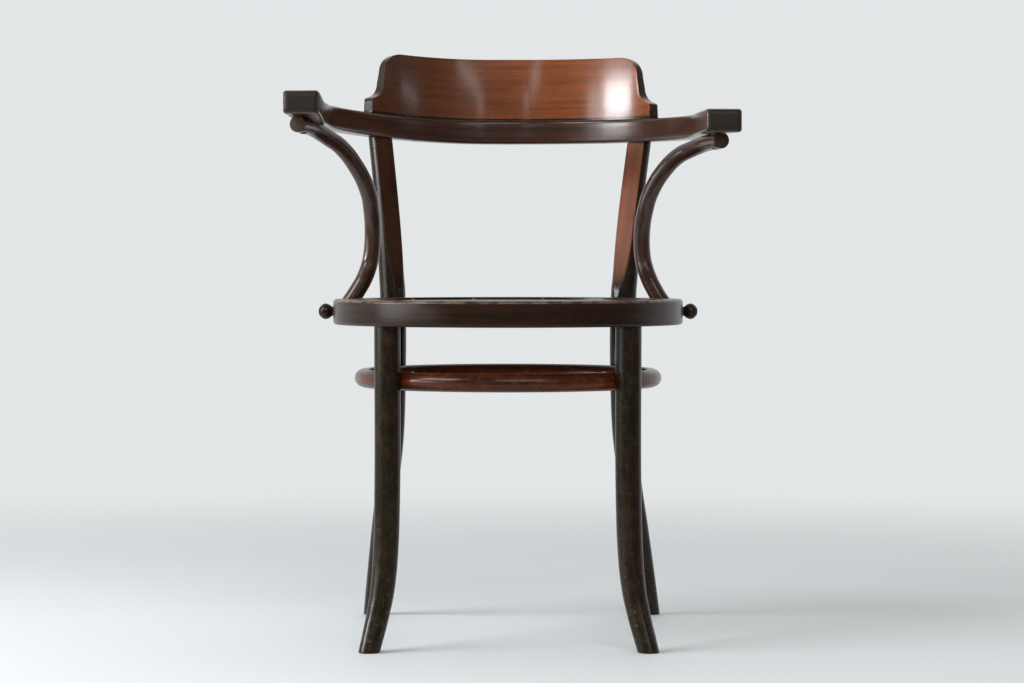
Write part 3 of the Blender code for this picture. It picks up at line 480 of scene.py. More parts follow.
def mark_flat(obj, rows, facing, painted_light_share):
    """Write how far each vertex lies on a post's planed flat, as the attribute planed.

    It is scaled by the painted light that the side's flat gets.
    """
    along = around(1.0, facing)
    values = []
    for vertex in obj.data.vertices:
        height = min(max(vertex.co.z, rows[0][2]), rows[-1][2])
        low = max(i for i in range(len(rows) - 1) if rows[i][2] <= height)
        share = (height - rows[low][2]) / (rows[low + 1][2] - rows[low][2])
        x, y, z, radius, flat_depth = [between(a, b, share) for a, b in zip(rows[low], rows[low + 1])]
        reach = (vertex.co - Vector((x, y, z))).dot(along)
        on_flat = smoothstep((reach - radius + flat_depth) / PLANED_BLEND + PLANED_OVERLAP)
        values.append(painted_light_share * on_flat * smoothstep((flat_depth - PLANED_START) / PLANED_DEPTH))
    write_values(obj, "planed", values)


def finish_piece(obj, node, surface, path, cyclic=False):
    """Give a finished piece its grain, finish and place, in the stead of its CAD node."""
    straighten(obj, path, cyclic)
    mark_edges(obj)
    obj.data.materials.clear()
    obj.data.materials.append(surface)
    obj.data.shade_smooth()
    obj.data.set_sharp_from_angle(angle=SMOOTH_ANGLE)
    obj.data.transform(obj.matrix_world)
    obj.matrix_world.identity()
    obj.location = CENTRE
    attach(obj, BODY)
    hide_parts(node)


def bow_plan(run):
    """Return the bow's inner edge and outward normal, run metres round from its back."""
    side = LEFT if run < 0 else RIGHT
    run = abs(run)
    if run <= BOW_QUARTER:
        angle = math.pi / 2 * run / BOW_QUARTER
        x, y = BOW_SIDE * math.sin(angle), BOW_REAR * math.cos(angle)
        out = Vector((BOW_REAR * math.sin(angle), BOW_SIDE * math.cos(angle), 0)).normalized()
    else:
        share = (run - BOW_QUARTER) / ARM_REACH
        x, y = BOW_SIDE + ARM_SPLAY * share**2, -ARM_REACH * share
        out = Vector((ARM_REACH, 2 * ARM_SPLAY * share, 0)).normalized()
    return Vector((side * x + BOW_SWAY - BOW_YAW * y, y, 0)), Vector((side * out.x, out.y, 0))


def bow_lift(run):
    """Return how far the sprung left arm lifts the bow at a place along it."""
    if run >= 0:
        return 0.0
    spring = LEFT_ARM_RISE * smoothstep((-run - LEFT_RISE_START) / LEFT_RISE_LENGTH)
    curl = LEFT_TIP_RISE * smoothstep((-run - BOW_HALF + LEFT_TIP_CURL) / LEFT_TIP_CURL)
    return spring + curl


def bow_bottom(run):
    """Return the height of the bow's underside."""
    return BOW_UNDERSIDE + bow_lift(run)


def bow_height(run):
    """Return the bow's height from its underside to its top."""
    return between(BOW_HEIGHT_REAR, BOW_HEIGHT_TIP, abs(run) / BOW_HALF)


def bow_top(run):
    """Return the height on which the crest stands."""
    return bow_bottom(run) + bow_height(run) + GAP


def bow_thickness(run):
    """Return the bow's thickness, which flares into a block at each arm's tip."""
    flare = smoothstep((abs(run) - BOW_HALF + ARM_FLARE) / ARM_FLARE)
    return between(BOW_THICKNESS, ARM_TIP_THICKNESS, flare)


def bow_section(run, forward, inset):
    """Return one rounded section of the bow, pushed forward and drawn in at a tip's edge."""
    inner, out = bow_plan(run)
    onward = Vector((out.y, -out.x, 0)) * (1 if run >= 0 else -1)
    round_over = BOW_ROUNDING - inset * 0.35
    low = bow_bottom(run) + inset + round_over
    high = bow_bottom(run) + bow_height(run) - inset - round_over
    near, far = inset + round_over, bow_thickness(run) - inset - round_over
    outline = []
    for quarter, centre in enumerate(((far, high), (near, high), (near, low), (far, low))):
        outline += arc(centre, round_over, quarter * 90, quarter * 90 + 90, 5)
    ring = []
    for spot, next_spot in zip(outline, outline[1:] + outline[:1]):
        steps = 4 if math.dist(spot, next_spot) > BOW_ROUNDING else 1
        for k in range(steps):
            across, rise = [between(a, b, k / steps) for a, b in zip(spot, next_spot)]
            ring.append(inner + out * across + UP * rise + onward * forward)
    return ring


def bow_runs():
    """Return the runs of the bow's sections from its back to the start of a tip's edge."""
    last = BOW_HALF - ARM_TIP_ROUNDING
    runs = [BOW_QUARTER * i / BOW_STEPS for i in range(BOW_STEPS)]
    return runs + [between(BOW_QUARTER, last, i / ARM_STEPS) for i in range(ARM_STEPS + 1)]


def bow_rings(drop=0.0):
    """Return the bow's sections from the left tip to the right one, lowered by drop."""
    runs = bow_runs()
    angles = [math.radians(a) for a in (22, 45, 67, 90)]
    tips = [(ARM_TIP_ROUNDING * math.sin(a), ARM_TIP_ROUNDING * (1 - math.cos(a))) for a in angles]
    tips.append((ARM_TIP_ROUNDING, ARM_TIP_ROUNDING * 1.25))
    last = runs[-1]
    rings = [bow_section(-last, forward, inset) for forward, inset in reversed(tips)]
    rings += [bow_section(-run, 0, 0) for run in reversed(runs[1:])]
    rings += [bow_section(run, 0, 0) for run in runs]
    rings += [bow_section(last, forward, inset) for forward, inset in tips]
    return [[point - UP * drop for point in ring] for ring in rings]


def bow_middle(run):
    """Return the point under the middle of the bow's underside."""
    inner, out = bow_plan(run)
    return inner + out * bow_thickness(run) / 2 + UP * bow_bottom(run)


def bow_path(across=0.5, share=0.5):
    """Return a line along the bow, from its left tip to its right one."""
    line = []
    for i in range(-BOW_PATH_STEPS, BOW_PATH_STEPS + 1):
        run = BOW_HALF * i / BOW_PATH_STEPS
        inner, out = bow_plan(run)
        rise = bow_bottom(run) + bow_height(run) * share
        line.append(inner + out * (BOW_THICKNESS * across) + UP * rise)
    return line


def screw_seat(head, direction):
    """Return a cutter for a screw's head, which goes in along direction."""
    return peg(SCREW_HEAD_RADIUS + GAP, head + direction * SCREW_HEAD_HEIGHT,
               head - direction * CUTTER_OVERRUN, 24)


def make_arm_bow(surface):
    """Make the bent rail that forms the back and both arms."""
    bow = loft("arm_bow_finished", bow_rings())
    seats = []
    for run in (-CREST_SCREW_RUN, 0.0, CREST_SCREW_RUN):
        inner, out = bow_plan(run)
        spot = inner + out * (CREST_SETBACK + CREST_THICKNESS / 2)
        seats.append(screw_seat(spot + UP * (bow_bottom(run) + SCREW_SINK), UP))
    for side in (LEFT, RIGHT):
        inner, out = bow_plan(side * POST_RUN)
        face = inner + out * (bow_thickness(POST_RUN) - SCREW_SINK)
        seats.append(screw_seat(face + UP * (bow_bottom(side * POST_RUN) + POST_SCREW_RISE), -out))
    cut(bow, seats)
    finish_piece(bow, "arm_bow", surface, bow_path())


def quarter_round(share):
    """Return how far a quarter circle has come in at a share of its height."""
    return 1 - math.sqrt(max(1 - share**2, 0))


def crest_half(height):
    """Return how far along the bow the crest reaches at a height above its foot."""
    if height <= CREST_FOOT_HEIGHT:
        share = max(1 - (CREST_FOOT_HEIGHT - height) / CREST_FOOT_ROUNDING, 0)
        return CREST_FOOT_HALF - CREST_FOOT_ROUNDING * quarter_round(share)
    if height <= CREST_SCOOP_TOP:
        share = (CREST_SCOOP_TOP - height) / CREST_SCOOP_HEIGHT
        scoop = between(CREST_WAIST_HALF, CREST_FOOT_HALF, quarter_round(share))
        return min(scoop, CREST_FOOT_HALF - CREST_FOOT_ROUNDING)
    if height <= CREST_CORNER_START:
        share = (height - CREST_SCOOP_TOP) / (CREST_CORNER_START - CREST_SCOOP_TOP)
        return between(CREST_WAIST_HALF, CREST_SHOULDER_HALF, share)
    share = (height - CREST_CORNER_START) / CREST_CORNER_HEIGHT
    return CREST_SHOULDER_HALF - CREST_CORNER_WIDTH * quarter_round(share)


def crest_rows():
    """Return the heights of the crest's rows, closer together where its outline turns."""
    low = CREST_FOOT_HEIGHT - CREST_FOOT_ROUNDING
    rows = [low * i / 4 for i in range(4)]
    rows += [low + CREST_FOOT_ROUNDING * math.sin(math.radians(a)) for a in (0, 25, 45, 65, 90)]
    rows += [CREST_SCOOP_TOP - CREST_SCOOP_HEIGHT * math.sin(math.radians(a))
             for a in (78, 64, 50, 38, 26, 13, 0)]
    rows += [between(CREST_SCOOP_TOP, CREST_CORNER_START, i / 3) for i in (1, 2)]
    rows += [CREST_CORNER_START + CREST_CORNER_HEIGHT * math.sin(math.radians(a))
             for a in range(0, 91, 9)]
    return rows


def crest_groove():
    """Return the cutter for the groove along the foot of the crest's front face."""
    rings = []
    for i in range(-100, 101):
        run = CREST_SHIFT + (CREST_FOOT_HALF + CUTTER_OVERRUN) * i / 100
        inner, out = bow_plan(run)
        corners = ((-CUTTER_OVERRUN, -CUTTER_OVERRUN), (CREST_GROOVE_DEPTH, -CUTTER_OVERRUN),
                   (CREST_GROOVE_DEPTH, CREST_GROOVE_HEIGHT), (-CUTTER_OVERRUN, CREST_GROOVE_HEIGHT))
        rings.append([inner + out * (CREST_SETBACK + across) + UP * (bow_top(run) + rise)
                      for across, rise in corners])
    return loft("cutter", rings)


def make_crest(surface):
    """Make the bent crest board."""
    shape = bmesh.new()
    rows = crest_rows()
    grid = []
    for height in rows:
        half = crest_half(height)
        setback = CREST_SETBACK + CREST_LEAN * (height / CREST_HEIGHT) ** 2
        line = []
        for i in range(CREST_COLUMNS + 1):
            run = CREST_SHIFT + half * (2 * i / CREST_COLUMNS - 1)
            inner, out = bow_plan(run)
            line.append(shape.verts.new(inner + out * setback + UP * (bow_top(run) + height)))
        grid.append(line)
    for low, high in zip(grid, grid[1:]):
        for i in range(CREST_COLUMNS):
            shape.faces.new((low[i], low[i + 1], high[i + 1], high[i]))
    crest = object_from("crest_panel_finished", shape, closed=False)
    thinning = crest.vertex_groups.new(name="thinning")
    for row, height in enumerate(rows):
        first = row * (CREST_COLUMNS + 1)
        share = between(1, CREST_TOP_SHARE, height / CREST_HEIGHT)
        thinning.add(range(first, first + CREST_COLUMNS + 1), share, "REPLACE")
    solid = crest.modifiers.new("thickness", "SOLIDIFY")
    solid.thickness = CREST_THICKNESS
    solid.offset = -1.0
    solid.vertex_group = thinning.name
    bake(crest)
    soften(crest, CREST_EDGE, 50, 4)
    cut(crest, [loft("cutter", bow_rings(-GAP)), crest_groove()])
    path = [point + UP * (CREST_HEIGHT / 2 + BOW_HEIGHT_REAR) for point in bow_path(0.3, 0)]
    finish_piece(crest, "crest_panel", surface, path)


def circle_path(radius, height, steps=180):
    """Return a level circle that starts at the back."""
    return [around(radius, math.pi / 2 + math.tau * i / steps, height) for i in range(steps)]


def make_seat_ring(surface):
    """Make the bent seat ring with its rebate."""
    inner = RING_RADIUS - RING_WIDTH
    outer_mid = RING_RADIUS - RING_ROUNDING
    profile = arc((outer_mid, SEAT_HEIGHT - RING_ROUNDING), RING_ROUNDING, 90, 0, 7)
    profile += arc((outer_mid, RING_BOTTOM + RING_ROUNDING), RING_ROUNDING, 0, -90, 7)
    profile += arc((inner + RING_INNER_ROUNDING, RING_BOTTOM + RING_INNER_ROUNDING),
                   RING_INNER_ROUNDING, 270, 180, 4)
    profile += [(inner, LEDGE_HEIGHT), (REBATE_RADIUS, LEDGE_HEIGHT)]
    edge = RING_INNER_ROUNDING / 2
    profile += arc((REBATE_RADIUS + edge, SEAT_HEIGHT - edge), edge, 180, 90, 3)
    ring = turned("seat_ring_finished", profile, RING_STEPS, closed=True)
    path = circle_path(RING_RADIUS - RING_WIDTH / 2, (SEAT_HEIGHT + RING_BOTTOM) / 2)
    finish_piece(ring, "seat_ring", surface, path, cyclic=True)


def make_seat_panel(surface):
    """Make the round plywood panel, with its grain across the seat."""
    top = SEAT_HEIGHT - PANEL_RECESS
    radius = REBATE_RADIUS - GAP
    profile = [(0, top), (radius * 0.5, top)]
    profile += arc((radius - PANEL_ROUNDING, top - PANEL_ROUNDING), PANEL_ROUNDING, 90, 0, 3)
    profile += [(radius, top - PANEL_THICKNESS), (0, top - PANEL_THICKNESS)]
    panel = turned("seat_panel_finished", profile, 180)
    path = [Vector((0, y, top)) for y in (-0.25, 0.25)]
    finish_piece(panel, "seat_panel", surface, path)


def foot_ring_path(steps):
    """Return the foot ring's centreline, which starts at the back."""
    back = Vector((0, FOOT_RING_BACK, FOOT_RING_HEIGHT))
    squash = Vector((FOOT_RING_HALF_WIDTH, FOOT_RING_HALF_DEPTH, 0))
    return [back + point * squash for point in circle_path(1.0, 0.0, steps)]


def foot_ring_rod(name, radius, steps):
    """Return a round rod along the foot ring's centreline."""
    points = foot_ring_path(steps)
    return loft(name, tube_rings(points, [radius] * steps, cyclic=True), cyclic=True)


def leg_centre(rows, height):
    """Return a leg's centre at a height."""
    low, high = next(pair for pair in zip(rows, rows[1:]) if pair[0][2] <= height <= pair[1][2])
    share = (height - low[2]) / (high[2] - low[2])
    return Vector([between(a, b, share) for a, b in zip(low[:3], high[:3])])


def foot_ring_screw(rows):
    """Return the head and direction of the screw that holds the foot ring to a leg."""
    centre = leg_centre(rows, FOOT_RING_HEIGHT)
    nearest = min(foot_ring_path(720), key=lambda point: (point - centre).length)
    direction = (centre - nearest).normalized()
    return nearest - direction * (FOOT_RING_TUBE - SCREW_SINK), direction


def make_foot_ring(surface):
    """Make the bent foot ring."""
    ring = foot_ring_rod("foot_ring_finished", FOOT_RING_TUBE, 200)
    rows = [rows_of(side) for side in (LEFT, RIGHT) for rows_of in (front_leg_rows, rear_leg_rows)]
    cut(ring, [screw_seat(*foot_ring_screw(row)) for row in rows])
    finish_piece(ring, "foot_ring", surface, foot_ring_path(180), cyclic=True)


def soft_least(first, second, blend):
    """Return the smaller of two lengths, eased where they are alike."""
    share = min(max(0.5 + 0.5 * (second - first) / blend, 0.0), 1.0)
    return second + (first - second) * share - blend * share * (1 - share)


def level_section(centre, radius, lean, flat_depth, flat_turn):
    """Return a level cut through a round rod that leans and has one flat planed along it."""
    slope = lean.length
    along = lean / slope if slope > 0 else Vector((1, 0, 0))
    half_angle = math.acos(1 - flat_depth / radius)
    corner = min(FLAT_CORNER, half_angle * 0.9)
    blend = min(FLAT_ROUNDING, flat_depth * 0.6)
    stretches = [
        (half_angle + corner, math.tau - half_angle - corner, LEG_ARC_SIDES),
        (-half_angle - corner, -half_angle + corner, LEG_CORNER_SIDES),
        (-half_angle + corner, half_angle - corner, LEG_FLAT_SIDES),
        (half_angle - corner, half_angle + corner, LEG_CORNER_SIDES),
    ]
    ring = []
    for start, end, sides in stretches:
        for i in range(sides):
            angle = between(start, end, i / sides)
            to_flat = (radius - flat_depth) / max(math.cos(angle), 0.01)
            point = around(soft_least(radius, to_flat, blend), angle + flat_turn)
            ring.append(centre + point + along * (point.dot(along) * (math.hypot(1.0, slope) - 1.0)))
    return ring


def upright(name, rows, flat_turn):
    """Return a leg through rows of (x, y, z, radius, flat depth), from the floor up."""
    rings = []
    for i, (*centre, radius, flat_depth) in enumerate(rows):
        centre = Vector(centre)
        low, high = [Vector(rows[min(max(k, 0), len(rows) - 1)][:3]) for k in (i - 1, i + 1)]
        rise = (high - low) / (high.z - low.z)
        lean = Vector((rise.x, rise.y, 0))
        for angle in (90, 60, 30, 0) if i == 0 else ():
            up = FOOT_ROUNDING * (1 - math.sin(math.radians(angle)))
            into = FOOT_ROUNDING * (1 - math.cos(math.radians(angle)))
            rings.append(level_section(centre + rise * up, radius - into, lean, flat_depth, flat_turn))
        if i > 0:
            rings.append(level_section(centre, radius, lean, flat_depth, flat_turn))
    return loft(name, rings)


def front_leg_rows(side, steps=8):
    """Return a front leg's rows: straight down from the seat, then out to its foot."""
    shares = [
        (0.000, 1.00, 1.00), (0.047, 0.79, 0.80), (0.117, 0.50, 0.59), (0.199, 0.25, 0.33),
        (0.281, 0.12, 0.17), (0.375, 0.045, 0.08), (0.515, 0.0, 0.03), (1.000, 0.0, 0.0),
    ]
    return [
        [
            side * FRONT_LEG_X + (side * FRONT_FOOT_OUT + FRONT_FOOT_SWAY) * out,
            FRONT_LEG_Y - FRONT_FOOT_FORWARD * out,
            (RING_BOTTOM - GAP) * height,
            between(FRONT_LEG_RADIUS, FRONT_FOOT_RADIUS, thin),
            NO_FLAT,
        ]
        for height, out, thin in smooth_rows(shares, steps)
    ]


def rear_leg_rows(side, steps=9):
    """Return a rear leg's rows, from its foot past the seat to the top of its post."""
    below = [
        (0.000, 1.00, 1.000, 1.00), (0.140, 0.76, 0.685, 0.81), (0.281, 0.51, 0.393, 0.62),
        (0.4215, 0.25, 0.146, 0.46), (0.562, 0.04, -0.022, 0.32), (0.767, -0.05, -0.112, 0.18),
        (1.000, 0.00, 0.000, 0.00),
    ]
    above = [
        (0.060, 0.03, 0.04, 0.05, 0.10), (0.110, 0.08, 0.08, 0.20, 0.23), (0.290, 0.21, 0.20, 0.45, 0.73),
        (0.500, 0.39, 0.40, 0.75, 0.97), (0.800, 0.74, 0.75, 0.95, 1.00), (1.000, 1.00, 1.00, 1.00, 1.00),
    ]
    top = bow_middle(side * POST_RUN)
    rows = []
    for height, out, back, thin in below:
        rows.append([
            REAR_LEG_X + (REAR_FOOT_OUT + side * REAR_FOOT_SWAY) * out,
            REAR_LEG_Y + REAR_FOOT_BACK * back,
            SEAT_HEIGHT * height,
            between(REAR_LEG_RADIUS, REAR_FOOT_RADIUS, thin),
            NO_FLAT,
        ])
    for height, out, back, thin, flat in above:
        rows.append([
            between(REAR_LEG_X, abs(top.x), out),
            between(REAR_LEG_Y, top.y, back),
            between(SEAT_HEIGHT, top.z, height),
            between(REAR_LEG_RADIUS, POST_RADIUS, thin),
            POST_FLAT_DEPTH * flat,
        ])
    rows = smooth_rows(rows, steps)
    for row in rows:
        row[0] *= side
        row[4] = max(row[4], NO_FLAT)
    rows.append([*rows[-1][:2], rows[-1][2] + POST_OVERRUN, *rows[-1][3:]])
    return rows


def foot_ring_notch():
    """Return the cutter that lets the foot ring into a leg."""
    return foot_ring_rod("cutter", FOOT_RING_TUBE + GAP, 120)


def make_front_leg(side, surface):
    """Make a front leg."""
    name = "front_leg_" + SIDE_NAMES[side]
    rows = front_leg_rows(side)
    leg = upright(name + "_finished", rows, 0.0)
    cut(leg, [foot_ring_notch()])
    finish_piece(leg, name, surface, [Vector(row[:3]) for row in rows])


def make_rear_leg(side, surface):
    """Make a rear leg and back post, notched round the seat ring and the foot ring."""
    name = "rear_leg_" + SIDE_NAMES[side]
    rows = rear_leg_rows(side)
    facing = -math.pi / 2 - side * POST_FLAT_TURN
    leg = upright(name + "_finished", rows, facing)
    axis = Vector((side * REAR_LEG_X, REAR_LEG_Y, 0))
    out = axis.normalized()
    head_seat = axis + out * (REAR_LEG_RADIUS - BOLT_HEAD_SINK) + UP * (RING_BOTTOM + BOLT_RISE)
    cut(leg, [
        loft("cutter", bow_rings(GAP)),
        peg(RING_RADIUS + GAP, UP * (RING_BOTTOM - GAP), UP * (SEAT_HEIGHT + GAP), RING_STEPS),
        foot_ring_notch(),
        peg(BOLT_HEAD_RADIUS + GAP, head_seat, head_seat + out * BOLT_CUT_LENGTH),
    ])
    # Painted light: the right post's flat gets the full lighter colour, as it faces the lamps on the left.
    mark_flat(leg, rows, facing, FLAT_PAINTED_LIGHT[side])
    finish_piece(leg, name, surface, [Vector(row[:3]) for row in rows])


def support_rows(side, steps=7):
    """Return an arm support's rows of (x, y, z, radius), from the seat ring to the arm."""
    foot = around(SUPPORT_FOOT_RADIUS, SUPPORT_FOOT_TURN, SEAT_HEIGHT)
    run = side * (BOW_HALF - SUPPORT_END_SETBACK)
    inner, out = bow_plan(run)
    end = inner + out * (SUPPORT_END_INSET - side * SUPPORT_END_SHIFT)
    drop = SUPPORT_TOP_RADIUS - SUPPORT_FLAT_DEPTH + GAP
    end = Vector((abs(end.x), end.y, BOW_UNDERSIDE - drop))
    shares = [
        (0.160, 0.00, -0.060, -0.85), (0.025, 0.00, 0.000, -0.80), (-0.088, -0.01, 0.0625, -0.65),
        (-0.190, -0.02, 0.128, -0.45), (-0.262, -0.02, 0.190, -0.35), (-0.303, -0.03, 0.241, -0.30),
        (-0.331, -0.03, 0.305, -0.24), (-0.344, -0.02, 0.374, -0.16), (-0.340, 0.00, 0.465, 0.00),
        (-0.304, 0.05, 0.575, 0.30), (-0.232, 0.10, 0.681, 0.62), (-0.092, 0.17, 0.781, 0.80),
        (0.082, 0.25, 0.860, 0.75), (0.255, 0.34, 0.914, 0.60), (0.500, 0.46, 0.956, 0.35),
        (0.745, 0.63, 0.988, 0.15), (1.000, 1.00, 1.000, 0.00),
    ]
    rows = []
    lift_at_end = bow_lift(run)
    for across, forward, height, sway in smooth_rows(shares, steps):
        rise = max(height - SUPPORT_LIFT_START, 0) / (1 - SUPPORT_LIFT_START)
        lift = lift_at_end * rise**SUPPORT_LIFT_POWER
        rows.append((
            side * between(foot.x, end.x, across) + SUPPORT_SWAY * sway,
            between(foot.y, end.y, forward),
            between(foot.z, end.z, height) + lift,
            between(SUPPORT_LOW_RADIUS, SUPPORT_TOP_RADIUS, min(max(height, 0), 1)),
        ))
    return rows


def make_arm_support(side, surface):
    """Make a bent arm support."""
    name = "arm_support_" + SIDE_NAMES[side]
    rows = support_rows(side)
    points = [Vector(row[:3]) for row in rows]
    support = loft(name + "_finished", tube_rings(points, [row[3] for row in rows]))
    soften(support, SUPPORT_EDGE, 40, 3)
    end = points[-1]
    back = (Vector(support_rows(side, 3)[-5][:3]) - end).normalized()
    saddle = block(end + back * SADDLE_START, end + back * SADDLE_LENGTH, SADDLE_HALF_WIDTH,
                   SUPPORT_TOP_RADIUS * 2)
    cut(support, [saddle], "UNION")
    ledge = Vector((points[0].x, points[0].y, SEAT_HEIGHT + GAP))
    cut(support, [
        peg(SUPPORT_LOW_RADIUS * 3, ledge - UP * SUPPORT_FOOT_CUT, ledge),
        loft("cutter", bow_rings(GAP)),
        screw_seat(end + back * SUPPORT_SCREW_RUN - UP * (SUPPORT_TOP_RADIUS - SCREW_SINK), UP),
    ])
    finish_piece(support, name, surface, points)


def make_side_knob(side, surface):
    """Make a turned knob on the side of the seat ring."""
    name = "side_knob_" + SIDE_NAMES[side]
    out = around(1.0, SUPPORT_FOOT_TURN) * Vector((side, 1, 1))
    base = out * (RING_RADIUS + GAP) + UP * (RING_BOTTOM + SEAT_HEIGHT) / 2
    neck = KNOB_NECK_RADIUS / KNOB_RADIUS
    shares = [
        (0.00, 1.00), (0.20, 0.994), (0.38, 0.975), (0.70, 0.86), (0.93, 0.72), (1.00, 0.585), (0.95, 0.44),
        (0.82, 0.31), (0.62, 0.18), (neck, 0.08), (neck, 0.00),
    ]
    rows = smooth_rows(shares, 4)
    outline = [(KNOB_RADIUS * max(across, 0), KNOB_LENGTH * height) for across, height in rows]
    outline.append((0, 0))
    knob = turned(name + "_finished", outline, 40, axis=out, base=base)
    finish_piece(knob, name, surface, [base, base + out * KNOB_LENGTH])


class Nodes:
    """Short calls for adding and joining shader nodes of a material or a world."""

    def __init__(self, owner):
        owner.use_nodes = True
        self.tree = owner.node_tree
        self.shader = self.tree.nodes.get("Principled BSDF")

    def add(self, kind, inputs=None, **settings):
        """Add a node, set its settings and its inputs, and return it."""
        node = self.tree.nodes.new("ShaderNode" + kind)
        for key, value in settings.items():
            setattr(node, key, value)
        for key, value in (inputs or {}).items():
            self.join(value, node.inputs[key])
        return node

    def join(self, value, socket):
        """Link a socket's output to an input, or write a plain value there."""
        if isinstance(value, bpy.types.NodeSocket):
            self.tree.links.new(value, socket)
        else:
            socket.default_value = value

    def math(self, operation, first, second=0.0, third=0.0, clamp=False):
        """Return the result of a Math node."""
        node = self.add("Math", {0: first, 1: second, 2: third}, operation=operation, use_clamp=clamp)
        return node.outputs[0]

    def times(self, first, second, clamp=False):
        """Return the product of two numbers."""
        return self.math("MULTIPLY", first, second, clamp=clamp)

    def stretch(self, vector, scale):
        """Return a vector scaled on each axis."""
        return self.add("VectorMath", {0: vector, 1: scale}, operation="MULTIPLY").outputs[0]

    def noise(self, vector, scale, detail=3.0, roughness=0.55, distortion=0.0):
        """Return a Noise texture's value."""
        node = self.add("TexNoise", {"Vector": vector, "Scale": scale, "Detail": detail,
                                     "Roughness": roughness, "Distortion": distortion})
        return node.outputs["Fac"]

    def step(self, value, low, high, bottom=0.0, top=1.0):
        """Return value eased from bottom at low to top at high."""
        node = self.add("MapRange", {"Value": value, "From Min": low, "From Max": high,
                                     "To Min": bottom, "To Max": top}, interpolation_type="SMOOTHSTEP")
        return node.outputs["Result"]

    def mix(self, share, first, second):
        """Return two colours mixed by a share."""
        node = self.add("Mix", {0: share}, data_type="RGBA")
        for value, socket in ((first, node.inputs[6]), (second, node.inputs[7])):
            self.join((*value, 1.0) if isinstance(value, tuple) else value, socket)
        return node.outputs[2]

    def fill(self, inputs):
        """Link or write inputs of the material's main shader."""
        for name, value in inputs.items():
            self.join(value, self.shader.inputs[name])

    def attribute(self, name, output):
        """Return what the mesh's attribute of this name holds."""
        return self.add("Attribute", attribute_name=name, attribute_type="GEOMETRY").outputs[output]


